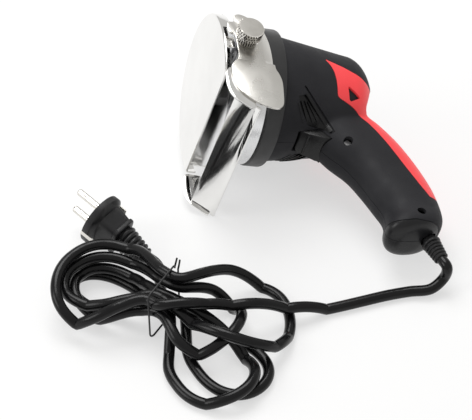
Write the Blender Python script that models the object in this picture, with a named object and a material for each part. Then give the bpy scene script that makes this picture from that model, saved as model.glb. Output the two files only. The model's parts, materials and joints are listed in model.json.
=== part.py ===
"""Electric kebab slicer lying on its right side, with its mains lead and plug.

Metres, +Z up. The slicer has its own frame: X to its right side, Y forward from
the motor to the blade, Z up away from the grip, with the motor axis along Y.
The cord and the plug lie on the table and are placed in the table's frame.
"""
import math

import bmesh
import bpy
import numpy as np
from mathutils import Matrix, Vector

# General sizes
FIT = 0.0003
OVERRUN = 0.003
FAR = 0.2
WALL = 0.0025
SHEET = 0.0012
ROUND_SIDES = 28
SMALL_SIDES = 12
SHAFT_SIDES = 20
DISC_SIDES = 44
SMOOTH_ANGLE = math.radians(32)
ROD_TURN = math.radians(4)
WELD = 0.000003
FLAT_ANGLE = math.radians(0.2)

# How the slicer lies on the table
YAW = math.radians(8.4)
NOSE_UP = math.radians(15.2)
ROLL = math.radians(-2.7)
HEAD_TURN = math.radians(-6.0)
TOOL_X = 0.020
TOOL_Y = 0.0534

# Barrel of the housing
BARREL_FRONT_RADIUS = 0.0425
BARREL_REAR_RADIUS = 0.0347
TAPER_LENGTH = 0.050
CAP_LENGTH = 0.022
CAP_STEPS = 5

# Grip: each row is front point, back point and half width, top to bottom
GRIP_DROP = 0.130
GRIP_SWEEP = 0.100
GRIP_HALF_WIDTH = 0.0175
GRIP_SIDES = 20
GRIP_SQUARENESS = 2.5
GRIP_ROW_SHARES = (
    (0.140, 0.062, 0.600, 0.015, 1.029),
    (0.200, 0.200, 0.680, 0.138, 1.057),
    (0.262, 0.292, 0.765, 0.223, 1.057),
    (0.338, 0.385, 0.848, 0.315, 1.029),
    (0.452, 0.477, 0.908, 0.415, 1.000),
    (0.532, 0.590, 0.965, 0.531, 0.971),
    (0.588, 0.690, 1.006, 0.645, 0.943),
    (0.636, 0.780, 1.020, 0.745, 0.930),
    (0.636, 0.835, 1.020, 0.800, 0.950),
    (0.615, 0.885, 1.010, 0.845, 1.000),
    (0.618, 0.915, 0.990, 0.875, 0.980),
    (0.650, 0.935, 0.940, 0.905, 0.870),
    (0.695, 0.945, 0.860, 0.928, 0.620),
)
GRIP_SOLID_ROWS = 2

# Red inlay on the back of barrel and grip, as shares of sweep and drop
INLAY_DEPTH = 0.0010
INLAY_OUTLINE_SHARES = (
    (0.310, 0.024),
    (0.390, -0.008),
    (0.480, -0.030),
    (0.610, -0.054),
    (0.864, -0.070),
    (1.104, -0.449),
    (1.104, -0.831),
    (0.880, -0.785),
    (0.840, -0.700),
    (0.800, -0.608),
    (0.750, -0.515),
    (0.700, -0.454),
    (0.650, -0.362),
    (0.600, -0.292),
    (0.550, -0.230),
    (0.490, -0.175),
    (0.390, -0.173),
    (0.370, -0.100),
    (0.350, -0.030),
)
INLAY_WINDOW_SHARES = (
    (0.451, -0.103),
    (0.545, -0.139),
    (0.468, -0.150),
)

# Gear case, bearing ring and bearings
CASE_RADIUS = 0.0463
CASE_LENGTH = 0.0117
CASE_WALL = 0.0100
CASE_WEB = 0.0023
SLEEVE_LENGTH = 0.0060
SLEEVE_WALL = 0.0022
RING_RADIUS = 0.0455
RING_LENGTH = 0.0157
RING_FACE = 0.0040
RING_HUB_WALL = 0.0047
RING_RIM_WALL = 0.0095
BEARING_RADIUS = 0.0110
BEARING_WIDTH = 0.0060
BEARING_LIP = 0.0023
BEARING_SPACER = 0.0013
RACE_WALL = 0.0017
SHIELD_DEPTH = 0.0004
SHAFT_RADIUS = 0.0050
THREAD_RADIUS = 0.0040

# Blade, hub and nut
BLADE_RADIUS = 0.0495
BLADE_THICKNESS = 0.0012
BLADE_BEVEL = 0.0040
BLADE_INSET = 0.0038
HUB_FLANGE_RADIUS = 0.0150
HUB_FLANGE = 0.0055
HUB_SLEEVE_RADIUS = 0.0090
HUB_NOSE_RADIUS = 0.0065
NUT_RADIUS = 0.0080
NUT_HEIGHT = 0.0026

# Front guard
GUARD_RADIUS = 0.0555
GUARD_SHIFT_X = 0.0020
GUARD_SHIFT_Z = -0.0030
GUARD_STANDOFF = 0.0170
GUARD_RIM = 0.0070
GUARD_ROLL = 0.0015
GUARD_CHORD = 0.0280
NOTCH_LOW = -0.0004
NOTCH_HIGH = 0.0098
RIM_END = -0.0090
RIM_END_DEPTH = 0.0080
LEG_WIDTH = 0.0120
LEG_ANGLES = (math.radians(20), math.radians(100))

# Thickness guide: arm, deflector, post and thumb screw
ARM_PLATE = 0.0015
ARM_OFFSET = 0.0560
GUIDE_REACH = 0.0600
ARM_OUTLINE_SHARES = (
    (0.628, 0.267),
    (0.628, 0.160),
    (0.715, 0.158),
    (0.715, -0.003),
    (0.628, -0.006),
    (0.628, -0.358),
    (0.692, -0.417),
    (0.730, -0.483),
    (0.733, -0.633),
    (0.708, -0.750),
    (0.650, -0.842),
    (0.567, -0.917),
    (0.483, -0.975),
    (0.400, -1.008),
    (0.308, -1.025),
    (0.250, -1.017),
    (0.208, -0.958),
    (0.192, -0.800),
    (0.183, -0.633),
    (0.208, -0.525),
    (0.242, -0.458),
    (0.233, -0.300),
    (0.233, -0.150),
    (0.250, -0.017),
    (0.283, 0.075),
    (0.333, 0.150),
    (0.433, 0.233),
    (0.550, 0.292),
)
EAR_BEND_SHARE = 0.37
EAR_LOW_SHARE = -0.42
EAR_BLEND_SHARE = 0.08
EAR_SLOPE_SHARE = 0.45
GUIDE_TRAVEL = 0.0050
STRIP_FRONT_SHARES = (0.715, -0.863)
STRIP_REAR_SHARES = (0.478, -1.047)
STRIP_RIGHT = 0.0530
HEM_WIDTH = 0.0030
HEM_THICKNESS = 0.0020
END_PLATE_SHARES = (
    (0.517, -0.500),
    (0.742, -0.478),
    (0.783, -0.550),
    (0.800, -0.700),
    (0.775, -0.833),
    (0.725, -0.917),
    (0.500, -1.083),
)
SCREW_LIFT = -0.0060
SCREW_REACH = 0.0035
SCREW_RADIUS = 0.0020
KNOB_RADIUS = 0.0085
KNOB_HEIGHT = 0.0090
KNOB_NECK = 0.0010
KNOB_NECK_RADIUS = 0.0035
COLLAR_RADIUS = 0.0065
COLLAR_HEIGHT = 0.0042
KNURL_TEETH = 20
KNURL_DEPTH = 0.0004
SCREW_ENTRY = 0.0088
POST_INNER = 0.0380
POST_DEPTH = 0.0082
POST_HALF_HEIGHT = 0.0060

# Fasteners
FASTENER_CIRCLE = 0.0410
FASTENER_RADIUS = 0.0016
FASTENER_HEAD = 0.0030
FASTENER_HEAD_HEIGHT = 0.0024
RING_SCREW_ANGLES = (math.radians(60), math.radians(160), math.radians(310))
RING_SCREW_LENGTH = 0.0200
GUARD_SCREW_LENGTH = 0.0080

# Gears
GEAR_MODULE = 0.0009
MOTOR_TEETH = 9
LAY_WHEEL_TEETH = 33
LAY_PINION_TEETH = 11
SPINDLE_TEETH = 31
ADDENDUM_SHARE = 0.7
DEDENDUM_SHARE = 1.1
BACKLASH_SHARE = 0.38
PRESSURE_ANGLE = math.radians(20)
LAY_SHAFT_RADIUS = 0.0022
PLATE_THICKNESS = 0.0030
WHEEL_WIDTH = 0.0040
WHEEL_SETBACK = 0.0013
SPINDLE_GEAR_WIDTH = 0.0070
SPINDLE_START = 0.0012

# Motor
MOTOR_RADIUS = 0.0240
MOTOR_LENGTH = 0.0450
CAN_WALL = 0.0015
CAN_FRONT = 0.0020
BUSH_RADIUS = 0.0060
REAR_BUSH_RADIUS = 0.0050
MOTOR_SHAFT_RADIUS = 0.0025
MAGNET_THICKNESS = 0.0035
MAGNET_HALF_ANGLE = math.radians(62)
MAGNET_INSET = 0.0040
ROTOR_RADIUS = 0.0180
ROTOR_POLES = 8
COIL_RADIUS = 0.0150
COIL_INNER_RADIUS = 0.0065
COIL_LENGTH = 0.0034
COMMUTATOR_RADIUS = 0.0070
COMMUTATOR_LENGTH = 0.0040
END_CAP = 0.0027
BRUSH_WIDTH = 0.0040
BRUSH_HEIGHT = 0.0056
FAN_RADIUS = 0.0200
FAN_HUB_RADIUS = 0.0060
FAN_WIDTH = 0.0040
FAN_BLADES = 9
FAN_BLADE = 0.0014
MOTOR_RIB = 0.0020

# Trigger and switch, in the slicer's frame
TRIGGER_HALF_WIDTH = 0.0115
TRIGGER_FRONT = -0.0175
TRIGGER_REAR = -0.0425
TRIGGER_TOP = -0.0340
TRIGGER_BOTTOM = -0.0455
TRIGGER_TRAVEL = 0.0050
TRIGGER_RIBS = 7
TRIGGER_RIB_DEPTH = 0.0009
TRIGGER_FLANGE = 0.0025
TRIGGER_FLANGE_REACH = 0.0010
TRIGGER_NOSE_SHARES = (
    (0.000, 0.000),
    (-0.018, 0.500),
    (0.088, 0.860),
    (0.440, 1.000),
)
SPRING_RADIUS = 0.0032
SPRING_WIRE = 0.0004
SPRING_TURNS = 5
SPRING_LENGTH = 0.0120
SPRING_STEPS = 8
POCKET_WALL = 0.0006
SWITCH_LENGTH = 0.0160
SWITCH_HEIGHT = 0.0125
SWITCH_HALF_WIDTH = 0.0090
SWITCH_GAP = 0.0030
PLUNGER_RADIUS = 0.0022
CAPACITOR_LENGTH = 0.0140
CAPACITOR_DEPTH = 0.0110
CAPACITOR_HALF_WIDTH = 0.0060
CAPACITOR_DROP = 0.0700
CAPACITOR_SWEEP = 0.0670

# Housing screws: place in the side view, and sizes
HOUSING_SCREW_SHARES = ((0.445, -0.385), (0.820, -0.850))
HOUSING_SCREW_NAMES = ("housing_screw_upper", "housing_screw_lower")
BOSS_RADIUS = 0.0034
BORE_RADIUS = 0.0027
HOUSING_HEAD_RADIUS = 0.0024
HOUSING_HEAD_HEIGHT = 0.0018
HOUSING_HEAD_DEPTH = 0.0110
HOUSING_SHANK_RADIUS = 0.0013
HOUSING_SHANK_REACH = 0.0080

# Strain relief and inner lead
RELIEF_Y = -0.0897
RELIEF_Z = -0.1148
RELIEF_LEAN = math.radians(18)
RELIEF_LENGTH = 0.0210
RELIEF_RADIUS = 0.0054
RELIEF_END_RADIUS = 0.0044
RELIEF_NECK_RADIUS = 0.0042
RELIEF_NECK_LENGTH = 0.0080
RELIEF_RIBS = 5
RELIEF_RIB_DEPTH = 0.0007

# Mains lead
CORD_DIAMETER = 0.0070
CORD_STEP = 0.0015
POINT_SPACING = 0.0085
LOOP_SPACING = 0.0080
LEAD_SIDES = 2
LOOP_SIDES = 1
LEAD_ROUTE = (
    (0.1320, -0.0725, 0.0110),
    (0.1235, -0.0780, 0.0060),
    (0.1100, -0.0785, 0.0040),
    (0.0960, -0.0815, 0.0037),
    (0.0800, -0.0865, 0.0037),
    (0.0640, -0.0915, 0.0037),
    (0.0460, -0.0965, 0.0037),
    (0.0280, -0.1010, 0.0037),
    (0.0090, -0.1060, 0.0037),
    (-0.0080, -0.1090, 0.0037),
)
WAIST_X = -0.0450
WAIST_Y = -0.1010
WAIST_ANGLE = math.radians(-30)
WAIST_HALF_LENGTH = 0.0060
COLUMN_PITCH = 0.0076
LAYER_PITCH = 0.0078
LOBE_TRIM_SHARE = 0.15
LOBE_KNOTS = 12
HUMP_RADIUS = 0.030
LAYING_ROUNDS = 14
CROSSING_REACH = 0.021
TABLE_FLOOR = 0.0037
WAIST_FLOOR = 0.0060
HANK_START = 0.0200
LOBES = (
    (math.radians(157), 0.068, 0.024, 0.003, -1.5, 1.5),
    (math.radians(-7), 0.079, 0.028, 0.0, 1.5, -0.5),
    (math.radians(156), 0.066, 0.017, 0.002, -0.5, 1.5),
    (math.radians(-24), 0.050, 0.019, 0.0, 1.5, -1.5),
    (math.radians(153), 0.062, 0.014, 0.0, -1.5, 0.5),
    (math.radians(-58), 0.081, 0.021, 0.005, 0.5, -0.5),
    (math.radians(151), 0.066, 0.012, 0.0, -0.5, 0.5),
    (math.radians(-51), 0.081, 0.021, 0.009, 0.5, 1.5),
)
TIE_RADIUS = 0.0008
TIE_TAIL = 0.0120
TIE_REACH = 0.0060
TIE_SHIFT = 0.0012
TIE_CORNER_STEPS = 4

# Plug
PLUG_X = -0.0897
PLUG_Y = -0.0268
PLUG_HEIGHT = 0.0193
PLUG_HEADING = math.radians(142.8)
PLUG_TILT = math.radians(16.8)
PLUG_LENGTH = 0.0435
PLUG_RADIUS = 0.0185
PLUG_SIDES = 18
PLUG_FLAT = 0.0170
PLUG_PROFILE_SHARES = (
    (0.92, 0.000),
    (1.00, 0.015),
    (1.00, 0.110),
    (0.93, 0.135),
    (0.74, 0.165),
    (0.62, 0.230),
    (0.58, 0.330),
    (0.60, 0.400),
    (0.55, 0.450),
    (0.42, 0.490),
    (0.34, 0.510),
)
BOOT_RIBS = 6
BOOT_RIB_SHARE = 0.045
BOOT_END_SHARE = 0.25
PIN_RADIUS = 0.0024
PIN_LENGTH = 0.0190
PIN_SPACING = 0.0190
PIN_ROOT = 0.0060
CLIP_WIDTH = 0.0036
CLIP_THICKNESS = 0.0008
CLIP_LENGTH = 0.0100


def clear_scene():
    """Remove the objects that the file opens with."""
    for item in list(bpy.data.objects):
        bpy.data.objects.remove(item)


def material(name, colour, roughness, metallic):
    """Principled material with the colour and finish read from the photo."""
    item = bpy.data.materials.new(name)
    item.use_nodes = True
    shader = item.node_tree.nodes["Principled BSDF"]
    shader.inputs["Base Color"].default_value = (*colour, 1.0)
    shader.inputs["Roughness"].default_value = roughness
    shader.inputs["Metallic"].default_value = metallic
    item.diffuse_color = (*colour, 1.0)
    return item


def empty(name, parent, matrix):
    """Frame that pieces are parented to."""
    item = bpy.data.objects.new(name, None)
    bpy.context.collection.objects.link(item)
    item.parent = parent
    item.matrix_local = matrix
    return item


def solid(bm):
    """Finish a bmesh as a closed body with its faces pointing out."""
    bmesh.ops.recalc_face_normals(bm, faces=bm.faces)
    mesh = bpy.data.meshes.new("solid")
    bm.to_mesh(mesh)
    bm.free()
    return mesh


def tidied(mesh):
    """Mesh with its slivers dissolved and its faces in triangles."""
    bm = bmesh.new()
    bm.from_mesh(mesh)
    bmesh.ops.remove_doubles(bm, verts=bm.verts, dist=WELD)
    bmesh.ops.dissolve_degenerate(bm, dist=WELD, edges=bm.edges)
    bmesh.ops.dissolve_limit(bm, angle_limit=FLAT_ANGLE, verts=bm.verts, edges=bm.edges)
    bmesh.ops.triangulate(bm, faces=bm.faces)
    bm.to_mesh(mesh)
    bm.free()
    return mesh


def combined(mesh, tools, operation):
    """Mesh after Boolean steps with a list of tool meshes."""
    for tool in tools:
        base = bpy.data.objects.new("base", mesh)
        cutter = bpy.data.objects.new("cutter", tool)
        bpy.context.collection.objects.link(base)
        bpy.context.collection.objects.link(cutter)
        step = base.modifiers.new("step", "BOOLEAN")
        step.operation = operation
        step.solver = "EXACT"
        step.object = cutter
        bpy.context.view_layer.update()
        graph = bpy.context.evaluated_depsgraph_get()
        mesh = tidied(bpy.data.meshes.new_from_object(base.evaluated_get(graph)))
        bpy.data.objects.remove(base)
        bpy.data.objects.remove(cutter)
    return mesh


def cut(mesh, *tools):
    """Mesh with the tool meshes cut away."""
    return combined(mesh, tools, "DIFFERENCE")


def join(mesh, *tools):
    """Mesh joined with the tool meshes into one body."""
    return combined(mesh, tools, "UNION")


def common(mesh, *tools):
    """Part of the mesh that lies inside the tool meshes."""
    return combined(mesh, tools, "INTERSECT")


def place(name, mesh, look, parent, at=(0.0, 0.0, 0.0)):
    """Put a mesh into the scene as a named piece with its origin at a point."""
    mesh.transform(Matrix.Translation(-Vector(at)))
    mesh.materials.clear()
    mesh.materials.append(look)
    for face in mesh.polygons:
        face.material_index = 0
    mesh.shade_smooth()
    mesh.set_sharp_from_angle(angle=SMOOTH_ANGLE)
    item = bpy.data.objects.new(name, mesh)
    item.location = at
    item.parent = parent
    bpy.context.collection.objects.link(item)
    return item


def axis_point(axis, along, first, second):
    """Point from a distance along an axis and its two cross coordinates."""
    if axis == "X":
        return Vector((along, first, second))
    if axis == "Y":
        return Vector((first, along, second))
    return Vector((first, second, along))


def prism(outline, axis, low, high):
    """Closed prism of an outline between two planes across an axis."""
    bm = bmesh.new()
    near = [bm.verts.new(axis_point(axis, low, *point)) for point in outline]
    far = [bm.verts.new(axis_point(axis, high, *point)) for point in outline]
    bm.faces.new(near)
    bm.faces.new(reversed(far))
    count = len(outline)
    for index in range(count):
        after = (index + 1) % count
        bm.faces.new((near[index], near[after], far[after], far[index]))
    return solid(bm)


def circle(radius, centre=(0.0, 0.0), sides=SMALL_SIDES, start=ROD_TURN):
    """Points of a circle in a plane."""
    points = []
    for index in range(sides):
        angle = start + 2.0 * math.pi * index / sides
        first = centre[0] + radius * math.cos(angle)
        second = centre[1] + radius * math.sin(angle)
        points.append((first, second))
    return points


def rod(axis, radius, low, high, centre=(0.0, 0.0), sides=SMALL_SIDES):
    """Round bar along an axis."""
    return prism(circle(radius, centre, sides), axis, low, high)


def box(x_low, x_high, y_low, y_high, z_low, z_high):
    """Box between two corners."""
    corners = ((y_low, z_low), (y_high, z_low), (y_high, z_high), (y_low, z_high))
    return prism(corners, "X", x_low, x_high)


def revolve(profile, sides=ROUND_SIDES, turn=0.0):
    """Solid turned about Y from a closed profile of (radius, y) points."""
    bm = bmesh.new()
    rings = []
    for radius, along in profile:
        if radius == 0.0:
            rings.append([bm.verts.new((0.0, along, 0.0))])
            continue
        ring = [bm.verts.new((x, along, z)) for x, z in circle(radius, sides=sides, start=turn)]
        rings.append(ring)
    for index, ring in enumerate(rings):
        other = rings[(index + 1) % len(rings)]
        for step in range(sides):
            after = (step + 1) % sides
            if len(ring) == 1 and len(other) == 1:
                break
            if len(ring) == 1:
                bm.faces.new((ring[0], other[step], other[after]))
            elif len(other) == 1:
                bm.faces.new((ring[step], ring[after], other[0]))
            else:
                bm.faces.new((ring[step], ring[after], other[after], other[step]))
    return solid(bm)


def grown(outline, amount):
    """Outline moved outward by an even amount."""
    area = 0.0
    count = len(outline)
    for index in range(count):
        here = outline[index]
        after = outline[(index + 1) % count]
        area += here[0] * after[1] - after[0] * here[1]
    side = amount if area > 0.0 else -amount
    points = []
    for index in range(count):
        before = Vector(outline[index - 1])
        here = Vector(outline[index])
        after = Vector(outline[(index + 1) % count])
        first = (here - before).normalized()
        second = (after - here).normalized()
        normal = Vector((first.y + second.y, -first.x - second.x)).normalized()
        spread = max(normal.dot(Vector((first.y, -first.x))), 0.5)
        points.append(tuple(here + normal * side / spread))
    return points


def scaled(shares, first_size, second_size):
    """Outline points from shares of two sizes."""
    return [(first * first_size, second * second_size) for first, second in shares]


def barrel_radius(along):
    """Outer radius of the barrel at a place on its straight taper."""
    share = -along / TAPER_LENGTH
    return BARREL_FRONT_RADIUS + (BARREL_REAR_RADIUS - BARREL_FRONT_RADIUS) * share


def barrel_solid(inset, front):
    """Barrel with its rounded rear end, drawn in by an inset."""
    profile = [(0.0, front), (barrel_radius(front) - inset, front)]
    profile.append((BARREL_REAR_RADIUS - inset, -TAPER_LENGTH))
    for step in range(1, CAP_STEPS):
        angle = 0.5 * math.pi * step / CAP_STEPS
        radius = (BARREL_REAR_RADIUS - inset) * math.cos(angle)
        along = -TAPER_LENGTH - (CAP_LENGTH - inset) * math.sin(angle)
        profile.append((radius, along))
    profile.append((0.0, -TAPER_LENGTH - CAP_LENGTH + inset))
    return revolve(profile)


def grip_solid(inset, last_rows):
    """Grip lofted through slanted rounded sections, drawn in by an inset."""
    bm = bmesh.new()
    rings = []
    rows = GRIP_ROW_SHARES[: len(GRIP_ROW_SHARES) - last_rows]
    for front_y, front_z, back_y, back_z, width in rows:
        front = Vector((0.0, -front_y * GRIP_SWEEP, -front_z * GRIP_DROP))
        back = Vector((0.0, -back_y * GRIP_SWEEP, -back_z * GRIP_DROP))
        half = (front - back) * 0.5
        half = half * (half.length - inset) / half.length
        middle = (front + back) * 0.5
        side = Vector((width * GRIP_HALF_WIDTH - inset, 0.0, 0.0))
        ring = []
        for index in range(GRIP_SIDES):
            angle = 2.0 * math.pi * index / GRIP_SIDES
            cosine = math.cos(angle)
            sine = math.sin(angle)
            power = 2.0 / GRIP_SQUARENESS
            forward = math.copysign(abs(cosine) ** power, cosine)
            sideways = math.copysign(abs(sine) ** power, sine)
            ring.append(bm.verts.new(middle + half * forward + side * sideways))
        rings.append(ring)
    for upper, lower in zip(rings, rings[1:]):
        for index in range(GRIP_SIDES):
            after = (index + 1) % GRIP_SIDES
            bm.faces.new((upper[index], upper[after], lower[after], lower[index]))
    bm.faces.new(rings[0])
    bm.faces.new(reversed(rings[-1]))
    bmesh.ops.triangulate(bm, faces=bm.faces)
    return solid(bm)


def body_solid(inset=0.0, front=0.0, last_rows=0):
    """Barrel and grip as one solid, drawn in by an inset."""
    return join(barrel_solid(inset, front), grip_solid(inset, last_rows))


def trigger_outline():
    """Side view of the trigger with ribs along its nose."""
    depth = TRIGGER_REAR - TRIGGER_FRONT
    drop = TRIGGER_BOTTOM - TRIGGER_TOP
    nose = []
    for first, second in TRIGGER_NOSE_SHARES:
        nose.append(Vector((TRIGGER_FRONT + first * depth, TRIGGER_TOP + second * drop)))
    lengths = [(after - here).length for here, after in zip(nose, nose[1:])]
    total = sum(lengths)
    points = []
    for index in range(2 * TRIGGER_RIBS):
        for edge in (0.0, 1.0):
            share = (index + edge) / (2 * TRIGGER_RIBS)
            left = share * total
            part = 0
            while part < len(lengths) - 1 and left > lengths[part]:
                left -= lengths[part]
                part += 1
            along = (nose[part + 1] - nose[part]).normalized()
            inward = Vector((along.y, -along.x))
            sunk = TRIGGER_RIB_DEPTH if index % 2 else 0.0
            points.append(tuple(nose[part] + along * left + inward * sunk))
    points.append((TRIGGER_REAR, TRIGGER_BOTTOM))
    points.append((TRIGGER_REAR, TRIGGER_TOP))
    return points


def gear_outline(teeth, tooth_angle):
    """Outline of a spur gear with a tooth centred at an angle."""
    pitch = teeth * GEAR_MODULE * 0.5
    root = pitch - DEDENDUM_SHARE * GEAR_MODULE
    tip = pitch + ADDENDUM_SHARE * GEAR_MODULE
    half = (math.pi * 0.5 - BACKLASH_SHARE) * GEAR_MODULE * 0.5
    slope = math.tan(PRESSURE_ANGLE)
    flank = []
    for radius in (root, pitch, tip):
        flank.append((radius, (half - (radius - pitch) * slope) / radius))
    points = []
    for index in range(teeth):
        middle = tooth_angle + 2.0 * math.pi * index / teeth
        for radius, width in flank:
            angle = middle - width
            points.append((radius * math.cos(angle), radius * math.sin(angle)))
        for radius, width in reversed(flank):
            angle = middle + width
            points.append((radius * math.cos(angle), radius * math.sin(angle)))
    return points


def tube(points, radius, bevel_steps, closed=False):
    """Mesh of a round tube along points, with flat ends."""
    curve = bpy.data.curves.new("tube", "CURVE")
    curve.dimensions = "3D"
    curve.bevel_depth = radius
    curve.bevel_resolution = bevel_steps
    curve.use_fill_caps = not closed
    spline = curve.splines.new("POLY")
    spline.points.add(len(points) - 1)
    spline.use_cyclic_u = closed
    for target, point in zip(spline.points, points):
        target.co = (*point, 1.0)
    return curve


def tube_piece(name, points, radius, bevel_steps, look, parent, closed=False):
    """Curve object for a tube along points."""
    curve = tube(points, radius, bevel_steps, closed)
    curve.materials.append(look)
    item = bpy.data.objects.new(name, curve)
    item.parent = parent
    bpy.context.collection.objects.link(item)
    return item


# Places along the motor axis, worked out from the sizes above
CASE_BACK = FIT
CASE_FRONT = CASE_BACK + CASE_LENGTH
RING_BACK = CASE_FRONT + FIT
RING_FRONT = RING_BACK + RING_LENGTH
GUARD_FRONT = RING_FRONT + GUARD_STANDOFF
GUARD_INNER = GUARD_FRONT - SHEET
GUARD_BACK = GUARD_FRONT - GUARD_RIM
BLADE_FRONT = GUARD_INNER - BLADE_INSET
BLADE_BACK = BLADE_FRONT - BLADE_THICKNESS
NUT_BACK = BLADE_FRONT + FIT
HUB_FRONT = BLADE_BACK - FIT
HUB_FLANGE_BACK = HUB_FRONT - HUB_FLANGE
REAR_BEARING_BACK = RING_BACK + FIT
REAR_BEARING_FRONT = REAR_BEARING_BACK + BEARING_WIDTH
FRONT_BEARING_BACK = REAR_BEARING_FRONT + BEARING_SPACER + 2.0 * FIT
FRONT_BEARING_FRONT = FRONT_BEARING_BACK + BEARING_WIDTH
CENTRE_DISTANCE = (MOTOR_TEETH + LAY_WHEEL_TEETH) * GEAR_MODULE * 0.5
SLEEVE_RADIUS = barrel_radius(-SLEEVE_LENGTH) - WALL - FIT
PLATE_FRONT = -SLEEVE_LENGTH - FIT
PLATE_BACK = PLATE_FRONT - PLATE_THICKNESS
PLATE_RADIUS = barrel_radius(PLATE_BACK) - WALL - FIT
WHEEL_FRONT = -WHEEL_SETBACK
WHEEL_BACK = WHEEL_FRONT - WHEEL_WIDTH
SPINDLE_GEAR_BACK = SPINDLE_START + FIT
SPINDLE_GEAR_FRONT = SPINDLE_GEAR_BACK + SPINDLE_GEAR_WIDTH
CAN_START = PLATE_BACK - FIT
CAN_END = CAN_START - MOTOR_LENGTH
CAP_FRONT = CAN_END - FIT
CAP_BACK = CAP_FRONT - END_CAP
FAN_FRONT = CAP_BACK - 2.0 * FIT
FAN_BACK = FAN_FRONT - FAN_WIDTH
SHAFT_END = FAN_BACK - FIT
ROTOR_FRONT = CAN_START - CAN_FRONT - COIL_LENGTH - 4.0 * FIT
COMMUTATOR_BACK = CAN_END + 2.0 * FIT
ROTOR_BACK = COMMUTATOR_BACK + COMMUTATOR_LENGTH + COIL_LENGTH + 3.0 * FIT
KNOB_Y = RING_FRONT + SCREW_REACH
ARM_OUTER = -ARM_OFFSET - ARM_PLATE
FLANGE_X = -ARM_OFFSET + FIT
SWITCH_FRONT = TRIGGER_REAR - TRIGGER_TRAVEL - SWITCH_GAP
SWITCH_BACK = SWITCH_FRONT - SWITCH_LENGTH
TRIGGER_MIDDLE = (TRIGGER_TOP + TRIGGER_BOTTOM) * 0.5
SWITCH_TOP = -barrel_radius(-TAPER_LENGTH) + WALL * 0.5 - 2.0 * FIT
SWITCH_LOW = SWITCH_TOP - SWITCH_HEIGHT
RELIEF_AXIS = Vector((0.0, -math.sin(RELIEF_LEAN), -math.cos(RELIEF_LEAN)))
RELIEF_START = Vector((0.0, RELIEF_Y, RELIEF_Z))


def on_circle(radius, angle):
    """Cross coordinates of a point on a circle, with the angle from Z to X."""
    return (radius * math.sin(angle), radius * math.cos(angle))


def housings(looks, tool):
    """Left and right halves of the black housing."""
    shell = body_solid()
    hollow = body_solid(WALL, OVERRUN, GRIP_SOLID_ROWS)
    shell = cut(shell, hollow)
    recess = prism(grown(inlay_outline(), FIT), "X", -FAR, FAR)
    recess = cut(recess, body_solid(INLAY_DEPTH + FIT))
    shell = cut(shell, recess)
    opening = box(
        -TRIGGER_HALF_WIDTH - FIT,
        TRIGGER_HALF_WIDTH + FIT,
        TRIGGER_REAR - TRIGGER_TRAVEL - FIT,
        TRIGGER_FRONT + 2.0 * FIT,
        TRIGGER_BOTTOM - FIT,
        TRIGGER_TOP + OVERRUN,
    )
    shell = cut(shell, opening, relief_cutter())
    core = body_solid(WALL * 0.5)
    centres = scaled(HOUSING_SCREW_SHARES, -GRIP_SWEEP, GRIP_DROP)
    bosses = [rod("X", BOSS_RADIUS, -FAR, FAR, centre) for centre in centres]
    for addition in (motor_ribs(), *fixing_pads(), *bosses):
        shell = join(shell, common(addition, core))
    hole = HOUSING_SHANK_RADIUS + FIT
    for centre in centres:
        shank = rod("X", hole, -FAR, HOUSING_SHANK_REACH + FIT, centre)
        bore = rod("X", BORE_RADIUS, -FAR, -HOUSING_HEAD_DEPTH, centre)
        shell = cut(shell, join(shank, bore))
    halves = (
        ("left_housing", -FAR, -FIT * 0.5),
        ("right_housing", FIT * 0.5, FAR),
    )
    for name, low, high in halves:
        side = box(low, high, -FAR, FAR, -FAR, FAR)
        place(name, common(shell, side), looks["housing"], tool)


def motor_ribs():
    """Two rings inside the barrel that hold the motor."""
    rings = []
    for along in (CAN_START - CAN_FRONT, CAN_END + MOTOR_RIB):
        outer = barrel_radius(along - MOTOR_RIB) - WALL * 0.6
        profile = [
            (MOTOR_RADIUS + FIT, along),
            (outer, along),
            (outer, along - MOTOR_RIB),
            (MOTOR_RADIUS + FIT, along - MOTOR_RIB),
        ]
        rings.append(revolve(profile, turn=ROD_TURN))
    return join(rings[0], rings[1])


def fixing_pads():
    """Pads inside the grip that hold the switch, the capacitor and the lead clamp."""
    half = GRIP_HALF_WIDTH + WALL
    pads = []
    middle = (SWITCH_FRONT + SWITCH_BACK) * 0.5
    for side in (-1.0, 1.0):
        near = side * (SWITCH_HALF_WIDTH + FIT)
        low, high = sorted((near, side * half))
        pad = box(low, high, middle - WALL, middle + WALL, SWITCH_LOW, SWITCH_LOW + 2.0 * WALL)
        pads.append(pad)
        near = side * (CAPACITOR_HALF_WIDTH + FIT)
        low, high = sorted((near, side * half))
        pad = box(
            low,
            high,
            -CAPACITOR_SWEEP - WALL,
            -CAPACITOR_SWEEP + WALL,
            -CAPACITOR_DROP - WALL,
            -CAPACITOR_DROP + WALL,
        )
        pads.append(pad)
    return pads


def relief_matrix():
    """Frame of the strain relief, with Y along it toward the cord."""
    turn = Matrix.Rotation(-0.5 * math.pi - RELIEF_LEAN, 4, "X")
    return Matrix.Translation(RELIEF_START) @ turn


def relief_cutter():
    """Hole in the heel of the grip for the strain relief."""
    hole = revolve([
        (0.0, -OVERRUN),
        (RELIEF_NECK_RADIUS + FIT, -OVERRUN),
        (RELIEF_NECK_RADIUS + FIT, RELIEF_NECK_LENGTH - FIT),
        (RELIEF_RADIUS + FIT, RELIEF_NECK_LENGTH - FIT),
        (RELIEF_RADIUS + FIT, RELIEF_LENGTH + OVERRUN),
        (0.0, RELIEF_LENGTH + OVERRUN),
    ], SMALL_SIDES)
    hole.transform(relief_matrix())
    return hole


def inlay_outline():
    """Side view of the red inlay."""
    return scaled(INLAY_OUTLINE_SHARES, -GRIP_SWEEP, GRIP_DROP)


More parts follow.
